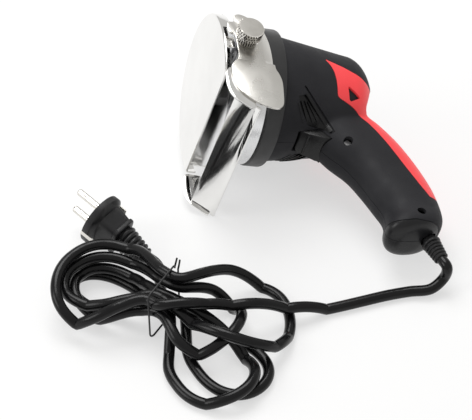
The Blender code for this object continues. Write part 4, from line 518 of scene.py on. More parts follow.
def new_grower(name, *sockets):
    """Geometry tree with its own sockets between its geometry and its look."""
    inputs = [("Geometry", GEOMETRY, None), *sockets, ("Look", MATERIAL, None)]
    return new_tree(name, "GeometryNodeTree", inputs, [("Geometry", GEOMETRY, None)])


def realized(tree, geometry):
    """Geometry with its instances made real."""
    return add(tree, "GeometryNodeRealizeInstances", {0: geometry}).outputs[0]


def dressed(tree, geometry, source):
    """Geometry in the finish that the tree was given."""
    sockets = {"Geometry": geometry, "Material": source.outputs["Look"]}
    return add(tree, "GeometryNodeSetMaterial", sockets).outputs[0]


# %% The tree for tubes
sweep, source, sink = new_grower("swept_tube", ("Radius", FLOAT, 0.0035), ("Sides", WHOLE, 20))
travel = add(sweep, "GeometryNodeSplineParameter")
marked = add(
    sweep, "GeometryNodeStoreNamedAttribute",
    {"Geometry": source.outputs["Geometry"], "Name": "along", "Value": travel.outputs["Length"]},
)
section = add(
    sweep, "GeometryNodeCurvePrimitiveCircle",
    {"Resolution": source.outputs["Sides"], "Radius": source.outputs["Radius"]},
)
tube = add(
    sweep, "GeometryNodeCurveToMesh",
    {"Curve": marked.outputs[0], "Profile Curve": section.outputs[0], "Fill Caps": True},
)
sweep.links.new(dressed(sweep, realized(sweep, tube.outputs[0]), source), sink.inputs[0])


def path_curve(points, closed=False):
    """Curve of one straight-edged spline through points."""
    curve = bpy.data.curves.new("path", "CURVE")
    curve.dimensions = "3D"
    spline = curve.splines.new("POLY")
    spline.points.add(len(points) - 1)
    spline.use_cyclic_u = closed
    for target, point in zip(spline.points, points):
        target.co = (*point, 1.0)
    return curve


# %% A tool that shows a finished piece
SMOOTH_ANGLE = math.radians(34)


def show(name, mesh, body, look=None, space=None, nodes=()):
    """Finished piece: placed in the row frame, dressed, and riding on its body."""
    if space is not None:
        mesh.transform(space)
    if look is not None:
        mesh.materials.clear()
        mesh.materials.append(LOOKS[look])
    mesh.shade_smooth()
    mesh.set_sharp_from_angle(angle=SMOOTH_ANGLE)
    item = linked(name, mesh)
    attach(item, body)
    if nodes:
        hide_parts(*nodes)
    print(name, "has", len(mesh.polygons), "faces")
    return item


# %% The mains lead and its tie
TIE_RADIUS = 0.0006
TIE_TAIL = 0.0060
TIE_REACH = 0.0060
TIE_SHIFT = 0.0012
TIE_CORNER_STEPS = 8

route_in_frame = route + SHIFT
lead_mesh = grown(
    sweep, path_curve(route_in_frame), Radius=CORD_DIAMETER * 0.5, Sides=20, Look=LOOKS["cord_rubber"],
)
mains_lead = show("mains_lead", lead_mesh, "slicer", nodes=("cord_lead", "cord_hank"))


# %% The tie
def tie_route():
    """Wire round the waist of the hank, with two free tails."""
    near = np.abs((route - WAIST) @ ALONG) < TIE_REACH
    near &= np.abs((route - WAIST) @ ACROSS) < 3.0 * COLUMN_PITCH
    spread = (route[near] - WAIST) @ ACROSS
    margin = CORD_DIAMETER * 0.5 + TIE_RADIUS + FIT
    left, right = spread.min() - margin, spread.max() + margin
    top, bottom, corner = route[near][:, 2].max() + margin, TIE_RADIUS + FIT, CORD_DIAMETER * 0.5
    centres = (
        (right, top, 0.0, -1, -1), (left, top, 0.5, 1, -1), (left, bottom, 1.0, 1, 1),
        (right, bottom, 1.5, -1, 1),
    )
    ring = []
    for middle, height, turn, inward, upward in centres:
        for step in range(TIE_CORNER_STEPS + 1):
            angle = math.pi * (turn + 0.5 * step / TIE_CORNER_STEPS)
            ring.append((
                middle + corner * (inward + math.cos(angle)), height + corner * (upward + math.sin(angle)),
            ))
    wire = [
        (right + TIE_TAIL * 0.5, top - corner + TIE_TAIL, -TIE_SHIFT),
        (right + TIE_TAIL * 0.1, top - corner + TIE_TAIL * 0.3, -TIE_SHIFT),
    ]
    wire += [
        (first, second, TIE_SHIFT * (2.0 * index / (len(ring) - 1) - 1.0))
        for index, (first, second) in enumerate(ring)
    ]
    wire += [
        (right, top - corner, TIE_SHIFT), (right + TIE_TAIL * 0.2, top - corner + TIE_TAIL * 0.4, TIE_SHIFT),
    ]
    wire += [(right + TIE_TAIL * 0.4, top - corner + TIE_TAIL, TIE_SHIFT)]
    base = np.array((WAIST[0], WAIST[1], 0.0)) + SHIFT
    return [
        base + ACROSS * first + np.array((0.0, 0.0, second)) + ALONG * slide
        for first, second, slide in wire
    ]


tie_mesh = grown(sweep, path_curve(tie_route()), Radius=TIE_RADIUS, Sides=12, Look=LOOKS["tie_plastic"])
lead_tie = show("lead_tie", tie_mesh, "slicer", nodes=("cord_tie",))

# %% [markdown]
# Round pieces are turned from a profile, flat pieces are cut from an outline, and
# holes are cut with Blender's manifold Boolean. Each helper gives back a plain mesh
# in the piece's own frame, and a small bevel rounds the edges that light catches.
# %% Tools for solid pieces
ROUND = 128
FAR = 0.2


def mesh_of(bm):
    """Mesh of a bmesh, with doubles merged and faces pointing out."""
    bmesh.ops.remove_doubles(bm, verts=bm.verts, dist=0.000001)
    bmesh.ops.recalc_face_normals(bm, faces=bm.faces)
    mesh = bpy.data.meshes.new("mesh")
    bm.to_mesh(mesh)
    bm.free()
    return mesh


def lofted(rings, closed_ends=True):
    """Skin over a row of rings with the same number of points."""
    bm = bmesh.new()
    rows = [[bm.verts.new(point) for point in ring] for ring in rings]
    count = len(rows[0])
    for one, two in zip(rows, rows[1:]):
        for index in range(count):
            after = (index + 1) % count
            bm.faces.new((one[index], one[after], two[after], two[index]))
    if closed_ends:
        bm.faces.new(rows[0])
        bm.faces.new(reversed(rows[-1]))
    return mesh_of(bm)


def turned(profile, sides=ROUND):
    """Solid turned about Y from a closed profile of (radius, y) points."""
    bm = bmesh.new()
    angles = [2.0 * math.pi * (index + 0.5) / sides for index in range(sides)]
    rows = [
        [bm.verts.new((radius * math.cos(a), along, radius * math.sin(a))) for a in angles]
        for radius, along in profile
    ]
    for index, one in enumerate(rows):
        two = rows[(index + 1) % len(rows)]
        if profile[index][0] == 0.0 and profile[(index + 1) % len(rows)][0] == 0.0:
            continue
        for step in range(sides):
            after = (step + 1) % sides
            bm.faces.new((one[step], one[after], two[after], two[step]))
    return mesh_of(bm)


def arc(centre, radius, first, last, steps):
    """Points of an arc between two angles."""
    angles = [first + (last - first) * step / steps for step in range(steps + 1)]
    return [(centre[0] + radius * math.cos(angle), centre[1] + radius * math.sin(angle)) for angle in angles]


# %% Flat pieces from an outline
def cut_out(outline, axis, low, high):
    """Prism of an outline between two planes across an axis."""
    slots = {"X": (1, 2, 0), "Y": (0, 2, 1), "Z": (0, 1, 2)}[axis]
    rings = []
    for level in (low, high):
        ring = []
        for first, second in outline:
            point = [0.0, 0.0, 0.0]
            point[slots[0]], point[slots[1]], point[slots[2]] = first, second, level
            ring.append(point)
        rings.append(ring)
    return lofted(rings)


def block(x_low, x_high, y_low, y_high, z_low, z_high):
    """Box between two corners."""
    return cut_out(((y_low, z_low), (y_high, z_low), (y_high, z_high), (y_low, z_high)), "X", x_low, x_high)


def disc(radius, centre=(0.0, 0.0), sides=48):
    """Outline of a circle."""
    return arc(centre, radius, 0.0, 2.0 * math.pi, sides)[:-1]


# %% Tools that cut and join
def modified(mesh, *steps):
    """Mesh after a row of modifiers, each a kind and its settings."""
    item = linked("work", mesh)
    for kind, settings in steps:
        step = item.modifiers.new(kind, kind)
        for key, value in settings.items():
            setattr(step, key, value)
    return applied(item)


def combined(mesh, tools, operation):
    """Mesh after Boolean steps with tool meshes."""
    for tool in tools:
        cutter = linked("cutter", tool)
        mesh = modified(mesh, ("BOOLEAN", {"object": cutter, "operation": operation, "solver": "MANIFOLD"}))
        bpy.data.objects.remove(cutter)
    return mesh


def cut(mesh, *tools):
    """Mesh with tool meshes cut away."""
    return combined(mesh, tools, "DIFFERENCE")


def joined(mesh, *tools):
    """Mesh joined with tool meshes."""
    return combined(mesh, tools, "UNION")


def common(mesh, *tools):
    """Part of the mesh inside the tool meshes."""
    return combined(mesh, tools, "INTERSECT")


def eased(mesh, width, segments=2, angle=30.0):
    """Mesh with its flat faces dissolved and its sharp edges rounded."""
    bm = bmesh.new()
    bm.from_mesh(mesh)
    bmesh.ops.remove_doubles(bm, verts=bm.verts, dist=0.000004)
    bmesh.ops.dissolve_limit(bm, angle_limit=math.radians(0.2), verts=bm.verts, edges=bm.edges)
    bevel = {
        "width": width, "segments": segments, "limit_method": "ANGLE", "angle_limit": math.radians(angle),
    }
    return modified(mesh_of(bm), ("BEVEL", {**bevel, "harden_normals": False}))


def merged(*meshes):
    """One mesh with the faces of several."""
    bm = bmesh.new()
    for mesh in meshes:
        bm.from_mesh(mesh)
    made = bpy.data.meshes.new("mesh")
    bm.to_mesh(made)
    bm.free()
    return made


print("solid tools ready, round pieces have", ROUND, "sides")

# %% [markdown]
# The housing is one soft form that is split into halves: a tapered barrel with a
# domed end, run together with a swept grip. A sharp Boolean joint would look cut,
# so the union is remeshed into small even faces and relaxed, which fills the joint
# with the soft fillet of a real moulding. The inside is the same form drawn in.
# %% The body form
BARREL_FRONT, BARREL_REAR, TAPER, CAP = 0.0425, 0.0347, 0.050, 0.022
SPARE = 0.004  # length of the barrel ahead of its face, cut off later
GRIP_DROP, GRIP_SWEEP, GRIP_HALF_WIDTH = 0.130, 0.100, 0.0175
GRIP_SQUARENESS = 2.5
GRIP_SIDES = 64
VOXEL = 0.0009
WALL = 0.0025
GRIP_ROWS = (  # front point, back point and half width, as shares, from top to bottom
    (0.140, 0.062, 0.600, 0.015, 1.029), (0.200, 0.200, 0.680, 0.138, 1.057),
    (0.262, 0.292, 0.765, 0.223, 1.057),
    (0.338, 0.385, 0.848, 0.315, 1.029), (0.452, 0.477, 0.908, 0.415, 1.000),
    (0.532, 0.590, 0.965, 0.531, 0.971),
    (0.588, 0.690, 1.006, 0.645, 0.943), (0.636, 0.780, 1.020, 0.745, 0.930),
    (0.636, 0.835, 1.020, 0.800, 0.950),
    (0.615, 0.885, 1.010, 0.845, 1.000), (0.618, 0.915, 0.990, 0.875, 0.980),
    (0.650, 0.935, 0.940, 0.905, 0.870),
    (0.695, 0.945, 0.860, 0.928, 0.620),
)


# %% Barrel and grip
def barrel_radius(along):
    """Outer radius of the barrel at a place on its straight taper."""
    return BARREL_FRONT + (BARREL_REAR - BARREL_FRONT) * -along / TAPER


def barrel():
    """Barrel with a smooth domed end, a little long at the front."""
    profile = [(0.0, SPARE), (barrel_radius(0.0), SPARE), (barrel_radius(0.0), 0.0), (BARREL_REAR, -TAPER)]
    for step in range(1, 16):
        angle = 0.5 * math.pi * step / 16
        profile.append((BARREL_REAR * math.cos(angle), -TAPER - CAP * math.sin(angle)))
    return turned(profile + [(0.0, -TAPER - CAP)])


def rounded_ring(sides, squareness):
    """Points of a unit ring, round at squareness 2 and nearly square at 6."""
    angles = [2.0 * math.pi * index / sides for index in range(sides)]
    power = 2.0 / squareness
    return [
        tuple(math.copysign(abs(part) ** power, part) for part in (math.cos(angle), math.sin(angle)))
        for angle in angles
    ]


def grip():
    """Grip lofted through slanted rounded sections on smooth rails."""
    unit = rounded_ring(GRIP_SIDES, GRIP_SQUARENESS)
    rings = []
    for front_y, front_z, back_y, back_z, width in smooth_path([np.array(row) for row in GRIP_ROWS], 0.02):
        front = Vector((0.0, -front_y * GRIP_SWEEP, -front_z * GRIP_DROP))
        rear = Vector((0.0, -back_y * GRIP_SWEEP, -back_z * GRIP_DROP))
        middle, reach, half = (front + rear) * 0.5, (front - rear) * 0.5, width * GRIP_HALF_WIDTH
        rings.append([
            middle + reach * forward + Vector((half * sideways, 0.0, 0.0))
            for forward, sideways in unit
        ])
    return lofted(rings)


def inset(mesh, depth):
    """Copy of a smooth mesh moved in along its normals."""
    made = mesh.copy()
    points = np.empty(len(made.vertices) * 3)
    made.vertices.foreach_get("co", points)
    normals = np.array([vertex.normal for vertex in made.vertices])
    made.vertices.foreach_set("co", (points.reshape(-1, 3) - normals * depth).ravel())
    made.update()
    return made


# %% Barrel and grip run together
BACK_NOTCH = (  # side view of the notch where the barrel's end stands over the grip, in metres
    (-0.0612, -0.0212), (-0.0655, -0.0258), (-0.0725, -0.0285), (-0.1100, -0.0500), (-0.1100, 0.0200),
    (-0.0740, 0.0080), (-0.0695, -0.0005), (-0.0655, -0.0085),
)

form = modified(
    cut(joined(barrel(), grip()), cut_out(BACK_NOTCH, "X", -FAR, FAR)),
    ("REMESH", {"mode": "VOXEL", "voxel_size": VOXEL}), ("SMOOTH", {"factor": 0.6, "iterations": 14}),
)
print("body form:", len(form.vertices), "points")

# %% [markdown]
# The red inlay wraps over the back of barrel and grip, flush with the black shell.
# A band cut from the form gives the inlay; the same band, a hair wider, gives its
# recess. On the left the inlay has a small dark window.
# %% The red inlay and the hollow shell
INLAY_DEPTH = 0.0014
INLAY_GAP = 0.00025
PROUD = 0.001  # how far a copy of the form that is cut up stands over the form
INLAY_SHARES = (  # back over sweep, height over drop: top edge, far behind the back, then up the front edge
    (0.304, 0.022), (0.345, 0.012), (0.390, 0.002), (0.449, -0.012), (0.524, -0.038), (0.610, -0.060),
    (0.864, -0.075), (1.144, -0.449), (1.144, -0.700), (0.925, -0.735), (0.908, -0.712), (0.871, -0.661),
    (0.833, -0.600), (0.790, -0.530), (0.748, -0.454), (0.705, -0.381), (0.660, -0.316), (0.611, -0.259),
    (0.555, -0.216), (0.495, -0.197), (0.435, -0.186), (0.390, -0.178), (0.379, -0.166), (0.377, -0.138),
    (0.370, -0.095), (0.359, -0.053), (0.336, -0.012),
)
WINDOW_SHARES = ((0.454, -0.112), (0.552, -0.156), (0.470, -0.184))


# %% Tools for outlines
def scaled(shares, first=-GRIP_SWEEP, second=GRIP_DROP):
    """Outline points from shares of two sizes."""
    return [(one * first, two * second) for one, two in shares]


def softened(outline, rounds=2, share=0.22):
    """Outline with its corners cut off, round after round."""
    for _ in range(rounds):
        made = []
        for index, here in enumerate(outline):
            after = outline[(index + 1) % len(outline)]
            made.append(tuple(a + (b - a) * share for a, b in zip(here, after)))
            made.append(tuple(b + (a - b) * share for a, b in zip(here, after)))
        outline = made
    return outline


def widened(outline, amount):
    """Outline moved outward by an even amount."""
    area = sum(a[0] * b[1] - b[0] * a[1] for a, b in zip(outline, outline[1:] + outline[:1]))
    side = math.copysign(amount, area)
    made = []
    for index, here in enumerate(outline):
        before, after = Vector(outline[index - 1]), Vector(outline[(index + 1) % len(outline)])
        here = Vector(here)
        one, two = (here - before).normalized(), (after - here).normalized()
        normal = Vector((one.y + two.y, -one.x - two.x)).normalized()
        made.append(tuple(here + normal * side / max(normal.dot(Vector((one.y, -one.x))), 0.5)))
    return made


# %% Inlay and shell
inlay_outline = softened(scaled(INLAY_SHARES))
band = cut_out(inlay_outline, "X", -FAR, FAR)
window = cut_out(softened(scaled(WINDOW_SHARES), 2, 0.12), "X", -FAR, 0.0)
core = inset(form, INLAY_DEPTH)
inlay = cut(common(form, band), core, window)
recess = cut(
    common(inset(form, -PROUD), cut_out(widened(inlay_outline, INLAY_GAP), "X", -FAR, FAR)),
    inset(form, INLAY_DEPTH + INLAY_GAP),
)
shell = cut(form, block(-FAR, FAR, 0.0, FAR, -FAR, FAR), inset(form, WALL), recess)
show("red_back_inlay", inlay, "slicer", "red_inlay", TOOL, ("back_inlay",))
print("shell:", len(shell.polygons), "faces")

# %% [markdown]
# Ahead of the grip the housing frames the trigger: a raised skirt on each side of
# the opening, a slanted rail behind it, and a groove along the rail. Each follows
# the body's own surface, so each is cut from a copy of the form that stands a
# little proud. Their outlines count image steps from one point, and the cuts go in
# along the line of sight, so the frame keeps its straight edges in the picture.
# %% Openings and screw holes of the housing
TRIGGER_HALF = 0.0115
TRIGGER_REAR = -0.0425
TRIGGER_TOP, TRIGGER_BOTTOM = -0.0340, -0.0455
TRIGGER_TRAVEL = 0.0050
SCREW_SHARES = ((0.445, -0.385), (0.820, -0.850))
BORE_RADIUS = 0.0027
BOOT_HOLE, BOOT_ROOM = 0.0057, 0.003
GROOVE_DEPTH = 0.0012
SEAM = 0.0003

TRIGGER_SIDE = (  # side view of the trigger: back, underside from back to nose, then up the front
    (-0.0425, -0.0320), (-0.0425, -0.0455), (-0.0300, -0.0450), (-0.0206, -0.0415), (-0.0160, -0.0380),
    (-0.0146, -0.0335), (-0.0146, -0.0270), (-0.0300, -0.0270),
)
TRIGGER_TAPER = (  # y and half width
    (-0.0146, 0.0084), (-0.0206, 0.0094), (-0.0360, TRIGGER_HALF), (-0.0425, TRIGGER_HALF),
)


def taper_plan(gap):
    """Top view of the trigger, grown by a gap all round."""
    rows = [(y + gap * (2.0 if row == 0 else 0.0), half + gap) for row, (y, half) in enumerate(TRIGGER_TAPER)]
    rows[-1] = (TRIGGER_REAR - TRIGGER_TRAVEL * (gap > 0.0) - gap, TRIGGER_HALF + gap)
    return [(half, y) for y, half in rows] + [(-half, y) for y, half in reversed(rows)]


opening = cut_out(taper_plan(FIT), "Z", TRIGGER_BOTTOM - 2.0 * FIT, TRIGGER_TOP + 0.0075)

# %% Slanted cuts
SLANT = (-0.524, 1.154)  # drift in y and z of a slanted cut, for each step in x
SLANT_X = -0.015
STEP_RIGHT, STEP_DOWN = Vector((-0.00072, 0.00012)), Vector((0.00018, -0.00102))
SLANT_START = Vector((-0.0232, -0.0002))


def slanted(outline, side, low=-0.042, high=-0.006):
    """Prism cut in at a slant from one side; its outline counts steps right and down."""
    rings = []
    for x in (low, high):
        drift = Vector(SLANT) * (x - SLANT_X)
        ring = [SLANT_START + STEP_RIGHT * right + STEP_DOWN * down + drift for right, down in outline]
        rings.append([(-side * x, point.x, point.y) for point in ring])
    return lofted(rings)


def stripe(start, end, first, last):
    """Outline of a straight stripe with a width at each end."""
    way = (Vector(end) - Vector(start)).normalized()
    across = Vector((-way.y, way.x)) * 0.5
    start, end = Vector(start), Vector(end)
    return [
        tuple(start - across * first), tuple(end - across * last), tuple(end + across * last),
        tuple(start + across * first),
    ]


# %% Grooves, rails and ridges
SLIT = 0.0003
GROOVE_STRIPE = ((0.5, 0.5), (29.0, 45.5), 1.6, 2.6)  # start, end, and the width at each
RAIL_STRIPE = ((2.0, 8.5), (26.0, 45.0), 1.4, 3.8)
RAIL_PROUD, RIDGE_PROUD = 0.0009, 0.0004
RIDGE_WIDTHS = (0.5, 0.8)
FRAME_OUTLINE = ((0.0, 9.0), (3.0, 9.0), (27.5, 47.0), (16.0, 43.0), (4.0, 39.0), (-4.0, 22.0), (-5.5, 10.0))
RIDGE_LINES = (
    ((-3.0, 15.0), (3.5, 38.0)), ((0.5, 15.0), (8.0, 36.0)), ((3.5, 16.0), (13.0, 36.0)),
    ((-6.0, 17.0), (-1.5, 37.0)),
)
grooves, raised = [], []
for side in (-1.0, 1.0):
    grooves += [
        common(inset(form, -PROUD), slanted(shape, side))
        for shape in (stripe(*GROOVE_STRIPE), FRAME_OUTLINE)
    ]
    raised.append(common(inset(form, -RAIL_PROUD), slanted(stripe(*RAIL_STRIPE), side)))
    raised.append(common(inset(form, GROOVE_DEPTH - SLIT), slanted(FRAME_OUTLINE, side)))
    raised += [
        common(inset(form, -RIDGE_PROUD), slanted(stripe(*line, *RIDGE_WIDTHS), side))
        for line in RIDGE_LINES
    ]
groove_floor = inset(form, GROOVE_DEPTH)
groove = [cut(piece, groove_floor) for piece in grooves]

# %% Holes, and the trigger frame
screw_holes = [
    cut_out(disc(BORE_RADIUS + 0.0003, centre), "X", -FAR, -0.011)
    for centre in scaled(SCREW_SHARES)
]
relief_turn = Matrix.Translation(RELIEF_START) @ Matrix.Rotation(-0.5 * math.pi - RELIEF_LEAN, 4, "X")
low, high = -BOOT_ROOM, RELIEF_LENGTH + BOOT_ROOM
relief_hole = turned([(0.0, low), (BOOT_HOLE, low), (BOOT_HOLE, high), (0.0, high)], 48)
relief_hole.transform(relief_turn)
shell = cut(shell, *groove, opening, *screw_holes, relief_hole)
backing = inset(form, WALL * 0.8)
frame_mesh = merged(*[cut(piece, backing, opening) for piece in raised])
show("trigger_frame", frame_mesh, "slicer", "trigger_black", TOOL)

# %% [markdown]
# The two halves meet in a hairline parting line. The heel of the grip carries a
# smoother cap face, set off by a fine line.
# %% The two halves
CAP_LINE = (  # side view of the heel's line, front to back, in metres
    (-0.0440, -0.1040), (-0.0560, -0.1075), (-0.0610, -0.1130), (-0.0650, -0.1164), (-0.0710, -0.1178),
    (-0.0770, -0.1174), (-0.0830, -0.1176), (-0.0920, -0.1164), (-0.1060, -0.1130),
)
HEEL_LINE = 0.0006  # width and depth of the line
line = [tuple(point) for point in smooth_path([np.array(point) for point in CAP_LINE], 0.002)]
strip = line + [(y, z - HEEL_LINE) for y, z in reversed(line)]
heel_line = cut(common(inset(form, -PROUD), cut_out(strip, "X", -FAR, FAR)), inset(form, HEEL_LINE))
shell = cut(shell, heel_line)
for name, low, high in (("left", -FAR, -SEAM * 0.5), ("right", SEAM * 0.5, FAR)):
    half = common(shell, block(low, high, -FAR, FAR, -FAR, FAR))
    item = show(f"housing_{name}", half, "slicer", "black_housing", TOOL, (f"{name}_housing",))
    item.data.materials.append(LOOKS["heel_black"])
    to_tool = TOOL.inverted()
    for face in item.data.polygons:
        middle = to_tool @ face.center
        if middle.z < -0.1 and middle.z < np.interp(-middle.y, [-y for y, _ in line], [z for _, z in line]):
            face.material_index = 1

# %% [markdown]
# The trigger is a straight-edged wedge, narrow at its nose and wide at its back.
# Its ribs run across it, one along each step of the underside.
# %% The trigger
SPRING_POCKET, POCKET_DEPTH = 0.0042, 0.0125
FLANGE, FLANGE_LIP = 0.0025, 0.001
RIB_RADIUS = 0.0008
TRIGGER_RIBS = (0.02, 0.24, 0.46, 0.68, 0.90)  # places of the ribs from nose to back, as shares

middle = (TRIGGER_TOP + TRIGGER_BOTTOM) * 0.5
wedge = common(
    cut_out(TRIGGER_SIDE, "X", -TRIGGER_HALF, TRIGGER_HALF), cut_out(taper_plan(0.0), "Z", -FAR, FAR),
)
wedge = eased(wedge, 0.0005)
reach = TRIGGER_HALF + FLANGE_LIP
flange = block(
    -reach, reach, TRIGGER_REAR, TRIGGER_REAR + FLANGE, TRIGGER_BOTTOM + 0.0070, TRIGGER_TOP - FLANGE,
)
pocket_line = disc(SPRING_POCKET, (0.0, middle), 32)
pocket = cut_out(pocket_line, "Y", TRIGGER_REAR - 0.003, TRIGGER_REAR + POCKET_DEPTH)
body = cut(joined(wedge, flange), pocket)
nose, heel = Vector(TRIGGER_SIDE[3]), Vector(TRIGGER_SIDE[1])
taper_places, taper_halves = [-y for y, _ in TRIGGER_TAPER], [half for _, half in TRIGGER_TAPER]
bars = []
for share in TRIGGER_RIBS:
    spot = nose.lerp(heel, share)
    half_width = np.interp(-spot.x, taper_places, taper_halves) - RIB_RADIUS
    across = [(half_width * (step / 3.0 - 1.0), spot.x, spot.y) for step in range(7)]
    bars.append(grown(sweep, path_curve(across), Radius=RIB_RADIUS, Sides=12, Look=LOOKS["trigger_black"]))
show("ribbed_trigger", merged(body, *bars), "trigger", "trigger_black", TOOL, ("trigger",))

# %% [markdown]
# The lead leaves the heel through a rubber boot. Its ribs are a row of rings that
# shrink toward the lead, and the plug's boot is made the same way, so a tree makes
# both: rings at even steps, each sized by its place in the row.
# %% A tree that sets rings along an axis
rings, source, sink = new_grower(
    "ring_row", ("Count", WHOLE, 5), ("Step", FLOAT, 0.002), ("First", FLOAT, 0.005), ("Last", FLOAT, 0.004),
    ("Thick", FLOAT, 0.0008),
)
gap = add(rings, "ShaderNodeCombineXYZ", {1: source.outputs["Step"]})
spots = add(rings, "GeometryNodeMeshLine", {"Count": source.outputs["Count"], "Offset": gap.outputs[0]})
place = add(rings, "GeometryNodeInputIndex")
last = maths(rings, "SUBTRACT", source.outputs["Count"], 1.0)
share = maths(rings, "DIVIDE", place.outputs[0], last)
size = add(
    rings, "ShaderNodeMapRange",
    {"Value": share, "To Min": source.outputs["First"], "To Max": source.outputs["Last"]},
)
round_line = add(rings, "GeometryNodeCurvePrimitiveCircle", {"Resolution": 48, "Radius": 1.0})
thin = maths(rings, "DIVIDE", source.outputs["Thick"], source.outputs["First"])
round_section = add(rings, "GeometryNodeCurvePrimitiveCircle", {"Resolution": 10, "Radius": thin})
ring = add(
    rings, "GeometryNodeCurveToMesh",
    {"Curve": round_line.outputs[0], "Profile Curve": round_section.outputs[0]},
)
upright = add(
    rings, "GeometryNodeTransform", {"Geometry": ring.outputs[0], "Rotation": (math.pi * 0.5, 0.0, 0.0)},
)
copies = add(
    rings, "GeometryNodeInstanceOnPoints",
    {"Points": spots.outputs[0], "Instance": upright.outputs[0], "Scale": size.outputs[0]},
)
both = add(rings, "GeometryNodeJoinGeometry", {0: realized(rings, copies.outputs[0])})
rings.links.new(source.outputs["Geometry"], both.inputs[0])
rings.links.new(dressed(rings, both.outputs[0], source), sink.inputs[0])


def with_rings(core, start, **values):
    """Core mesh about Y with a row of rings from a place along it."""
    core.transform(Matrix.Translation((0.0, -start, 0.0)))
    mesh = grown(rings, core, **values)
    mesh.transform(Matrix.Translation((0.0, start, 0.0)))
    return mesh


# %% The strain relief
NECK = 0.0080
BOOT_RINGS = {"Count": 5, "Step": 0.0024, "First": 0.0050, "Last": 0.0041, "Thick": 0.0009}
boot = turned([
    (0.0, 0.0), (0.0042, 0.0), (0.0042, NECK - 0.0012), (0.0062, NECK - 0.0010), (0.0064, NECK - 0.0004),
    (0.0062, NECK + 0.0006), (0.0049, NECK + 0.0012), (0.0038, RELIEF_LENGTH - 0.0006),
    (0.0034, RELIEF_LENGTH), (0.0, RELIEF_LENGTH),
], 64)
relief_mesh = with_rings(boot, NECK + 0.0026, **BOOT_RINGS, Look=LOOKS["plug_rubber"])
show("ribbed_strain_relief", relief_mesh, "slicer", None, TOOL @ relief_turn, ("strain_relief",))

# %% [markdown]
# The gear case and the bearing ring are turned parts: a satin black ring, then a
# bright aluminium one with small chamfers.
# %% Gear case and bearing ring
CASE_BACK, CASE_FRONT = FIT, FIT + 0.0117
RING_BACK = CASE_FRONT + FIT
RING_FRONT = RING_BACK + 0.0157
CASE_RADIUS, RING_RADIUS = 0.0463, 0.0455
SLEEVE = 0.0060
SLEEVE_RADIUS = barrel_radius(-SLEEVE) - WALL - FIT
CASE_WALL, CASE_BORE, CASE_FLOOR = 0.0022, 0.0062, 0.0023
LAYSHAFT_HOLE, LAYSHAFT_LIFT = 0.0025, 0.0189
CHANNEL_FLOOR, HUB_WALL, RIM_WALL = 0.0040, 0.0047, 0.0095
BEARING_WIDTH, LEDGE_WIDTH, LEDGE_HEIGHT = 0.0060, 0.0026, 0.0013
SCREW_REACH = 0.0200  # how far behind the ring's front its screws go
SHEET = 0.0012
FASTENER_CIRCLE = 0.0410
FASTENER_RADIUS, FASTENER_HEAD, FASTENER_HEIGHT = 0.0016, 0.0030, 0.0024
FASTENER_HOLE, HEAD_HOLE = FASTENER_RADIUS + FIT, FASTENER_HEAD + FIT
RING_SCREWS = [math.radians(angle) for angle in (60, 160, 310)]
LEG_ANGLES = [math.radians(angle) for angle in (20, 100)]
POST_INNER, POST_DEPTH = 0.0380, 0.0082
SCREW_LIFT = -0.0060  # height of the thumb screw and its post on the head
POST_SCREW = (-POST_INNER - FASTENER_HEAD - 2.0 * FIT, SCREW_LIFT)


# %% Round cuts and the gear case
def on_circle(radius, angle):
    """Cross place of a point on a circle, with the angle from Z to X."""
    return (radius * math.sin(angle), radius * math.cos(angle))


def rod(radius, low, high, centre=(0.0, 0.0), sides=48):
    """Round bar along Y."""
    return cut_out(disc(radius, centre, sides), "Y", low, high)


sleeve_inner, floor_back = SLEEVE_RADIUS - CASE_WALL, CASE_FRONT - CASE_FLOOR
case = turned([
    (sleeve_inner, -SLEEVE), (SLEEVE_RADIUS, -SLEEVE), (SLEEVE_RADIUS, CASE_BACK),
    (CASE_RADIUS - 0.0012, CASE_BACK), (CASE_RADIUS - 0.0003, CASE_BACK + 0.0004),
    (CASE_RADIUS, CASE_BACK + 0.0014), (CASE_RADIUS, CASE_FRONT - 0.0010), (CASE_RADIUS - 0.0010, CASE_FRONT),
    (CASE_BORE, CASE_FRONT), (CASE_BORE, floor_back), (sleeve_inner, floor_back),
])
ring_spots = [on_circle(FASTENER_CIRCLE, angle) for angle in RING_SCREWS]
leg_spots = [on_circle(FASTENER_CIRCLE, angle) for angle in LEG_ANGLES]
holes = [rod(FASTENER_HOLE, RING_FRONT - SCREW_REACH - FIT, RING_FRONT, spot, 24) for spot in ring_spots]
case = cut(case, rod(LAYSHAFT_HOLE, 0.0, RING_FRONT, (0.0, LAYSHAFT_LIFT), 32), *holes)
show("black_gear_case", case, "slicer", "black_case", HEAD, ("gear_case",))

# %% The bearing ring
seat = 0.0110 + FIT
spacer = RING_BACK + FIT + BEARING_WIDTH + FIT
channel, ledge, ledge_top = RING_FRONT - CHANNEL_FLOOR, seat - LEDGE_WIDTH, spacer + LEDGE_HEIGHT
ring_mesh = turned([
    (seat, RING_BACK), (seat + HUB_WALL, RING_BACK), (seat + HUB_WALL, channel),
    (RING_RADIUS - RIM_WALL, channel), (RING_RADIUS - RIM_WALL, RING_BACK), (RING_RADIUS - 0.0004, RING_BACK),
    (RING_RADIUS, RING_BACK + 0.0004), (RING_RADIUS, RING_FRONT - 0.0007), (RING_RADIUS - 0.0007, RING_FRONT),
    (seat + 0.0004, RING_FRONT), (seat, RING_FRONT - 0.0004), (seat, ledge_top), (ledge, ledge_top),
    (ledge, spacer), (seat, spacer),
])
holes = []
sunk, thread_end = RING_FRONT - FASTENER_HEIGHT - 2.0 * FIT, RING_FRONT - 0.0080
for spot in ring_spots:
    holes += [rod(FASTENER_HOLE, 0.0, FAR, spot, 24), rod(HEAD_HOLE, sunk, FAR, spot, 32)]
holes += [rod(FASTENER_HOLE, thread_end, FAR, spot, 24) for spot in (*leg_spots, POST_SCREW)]
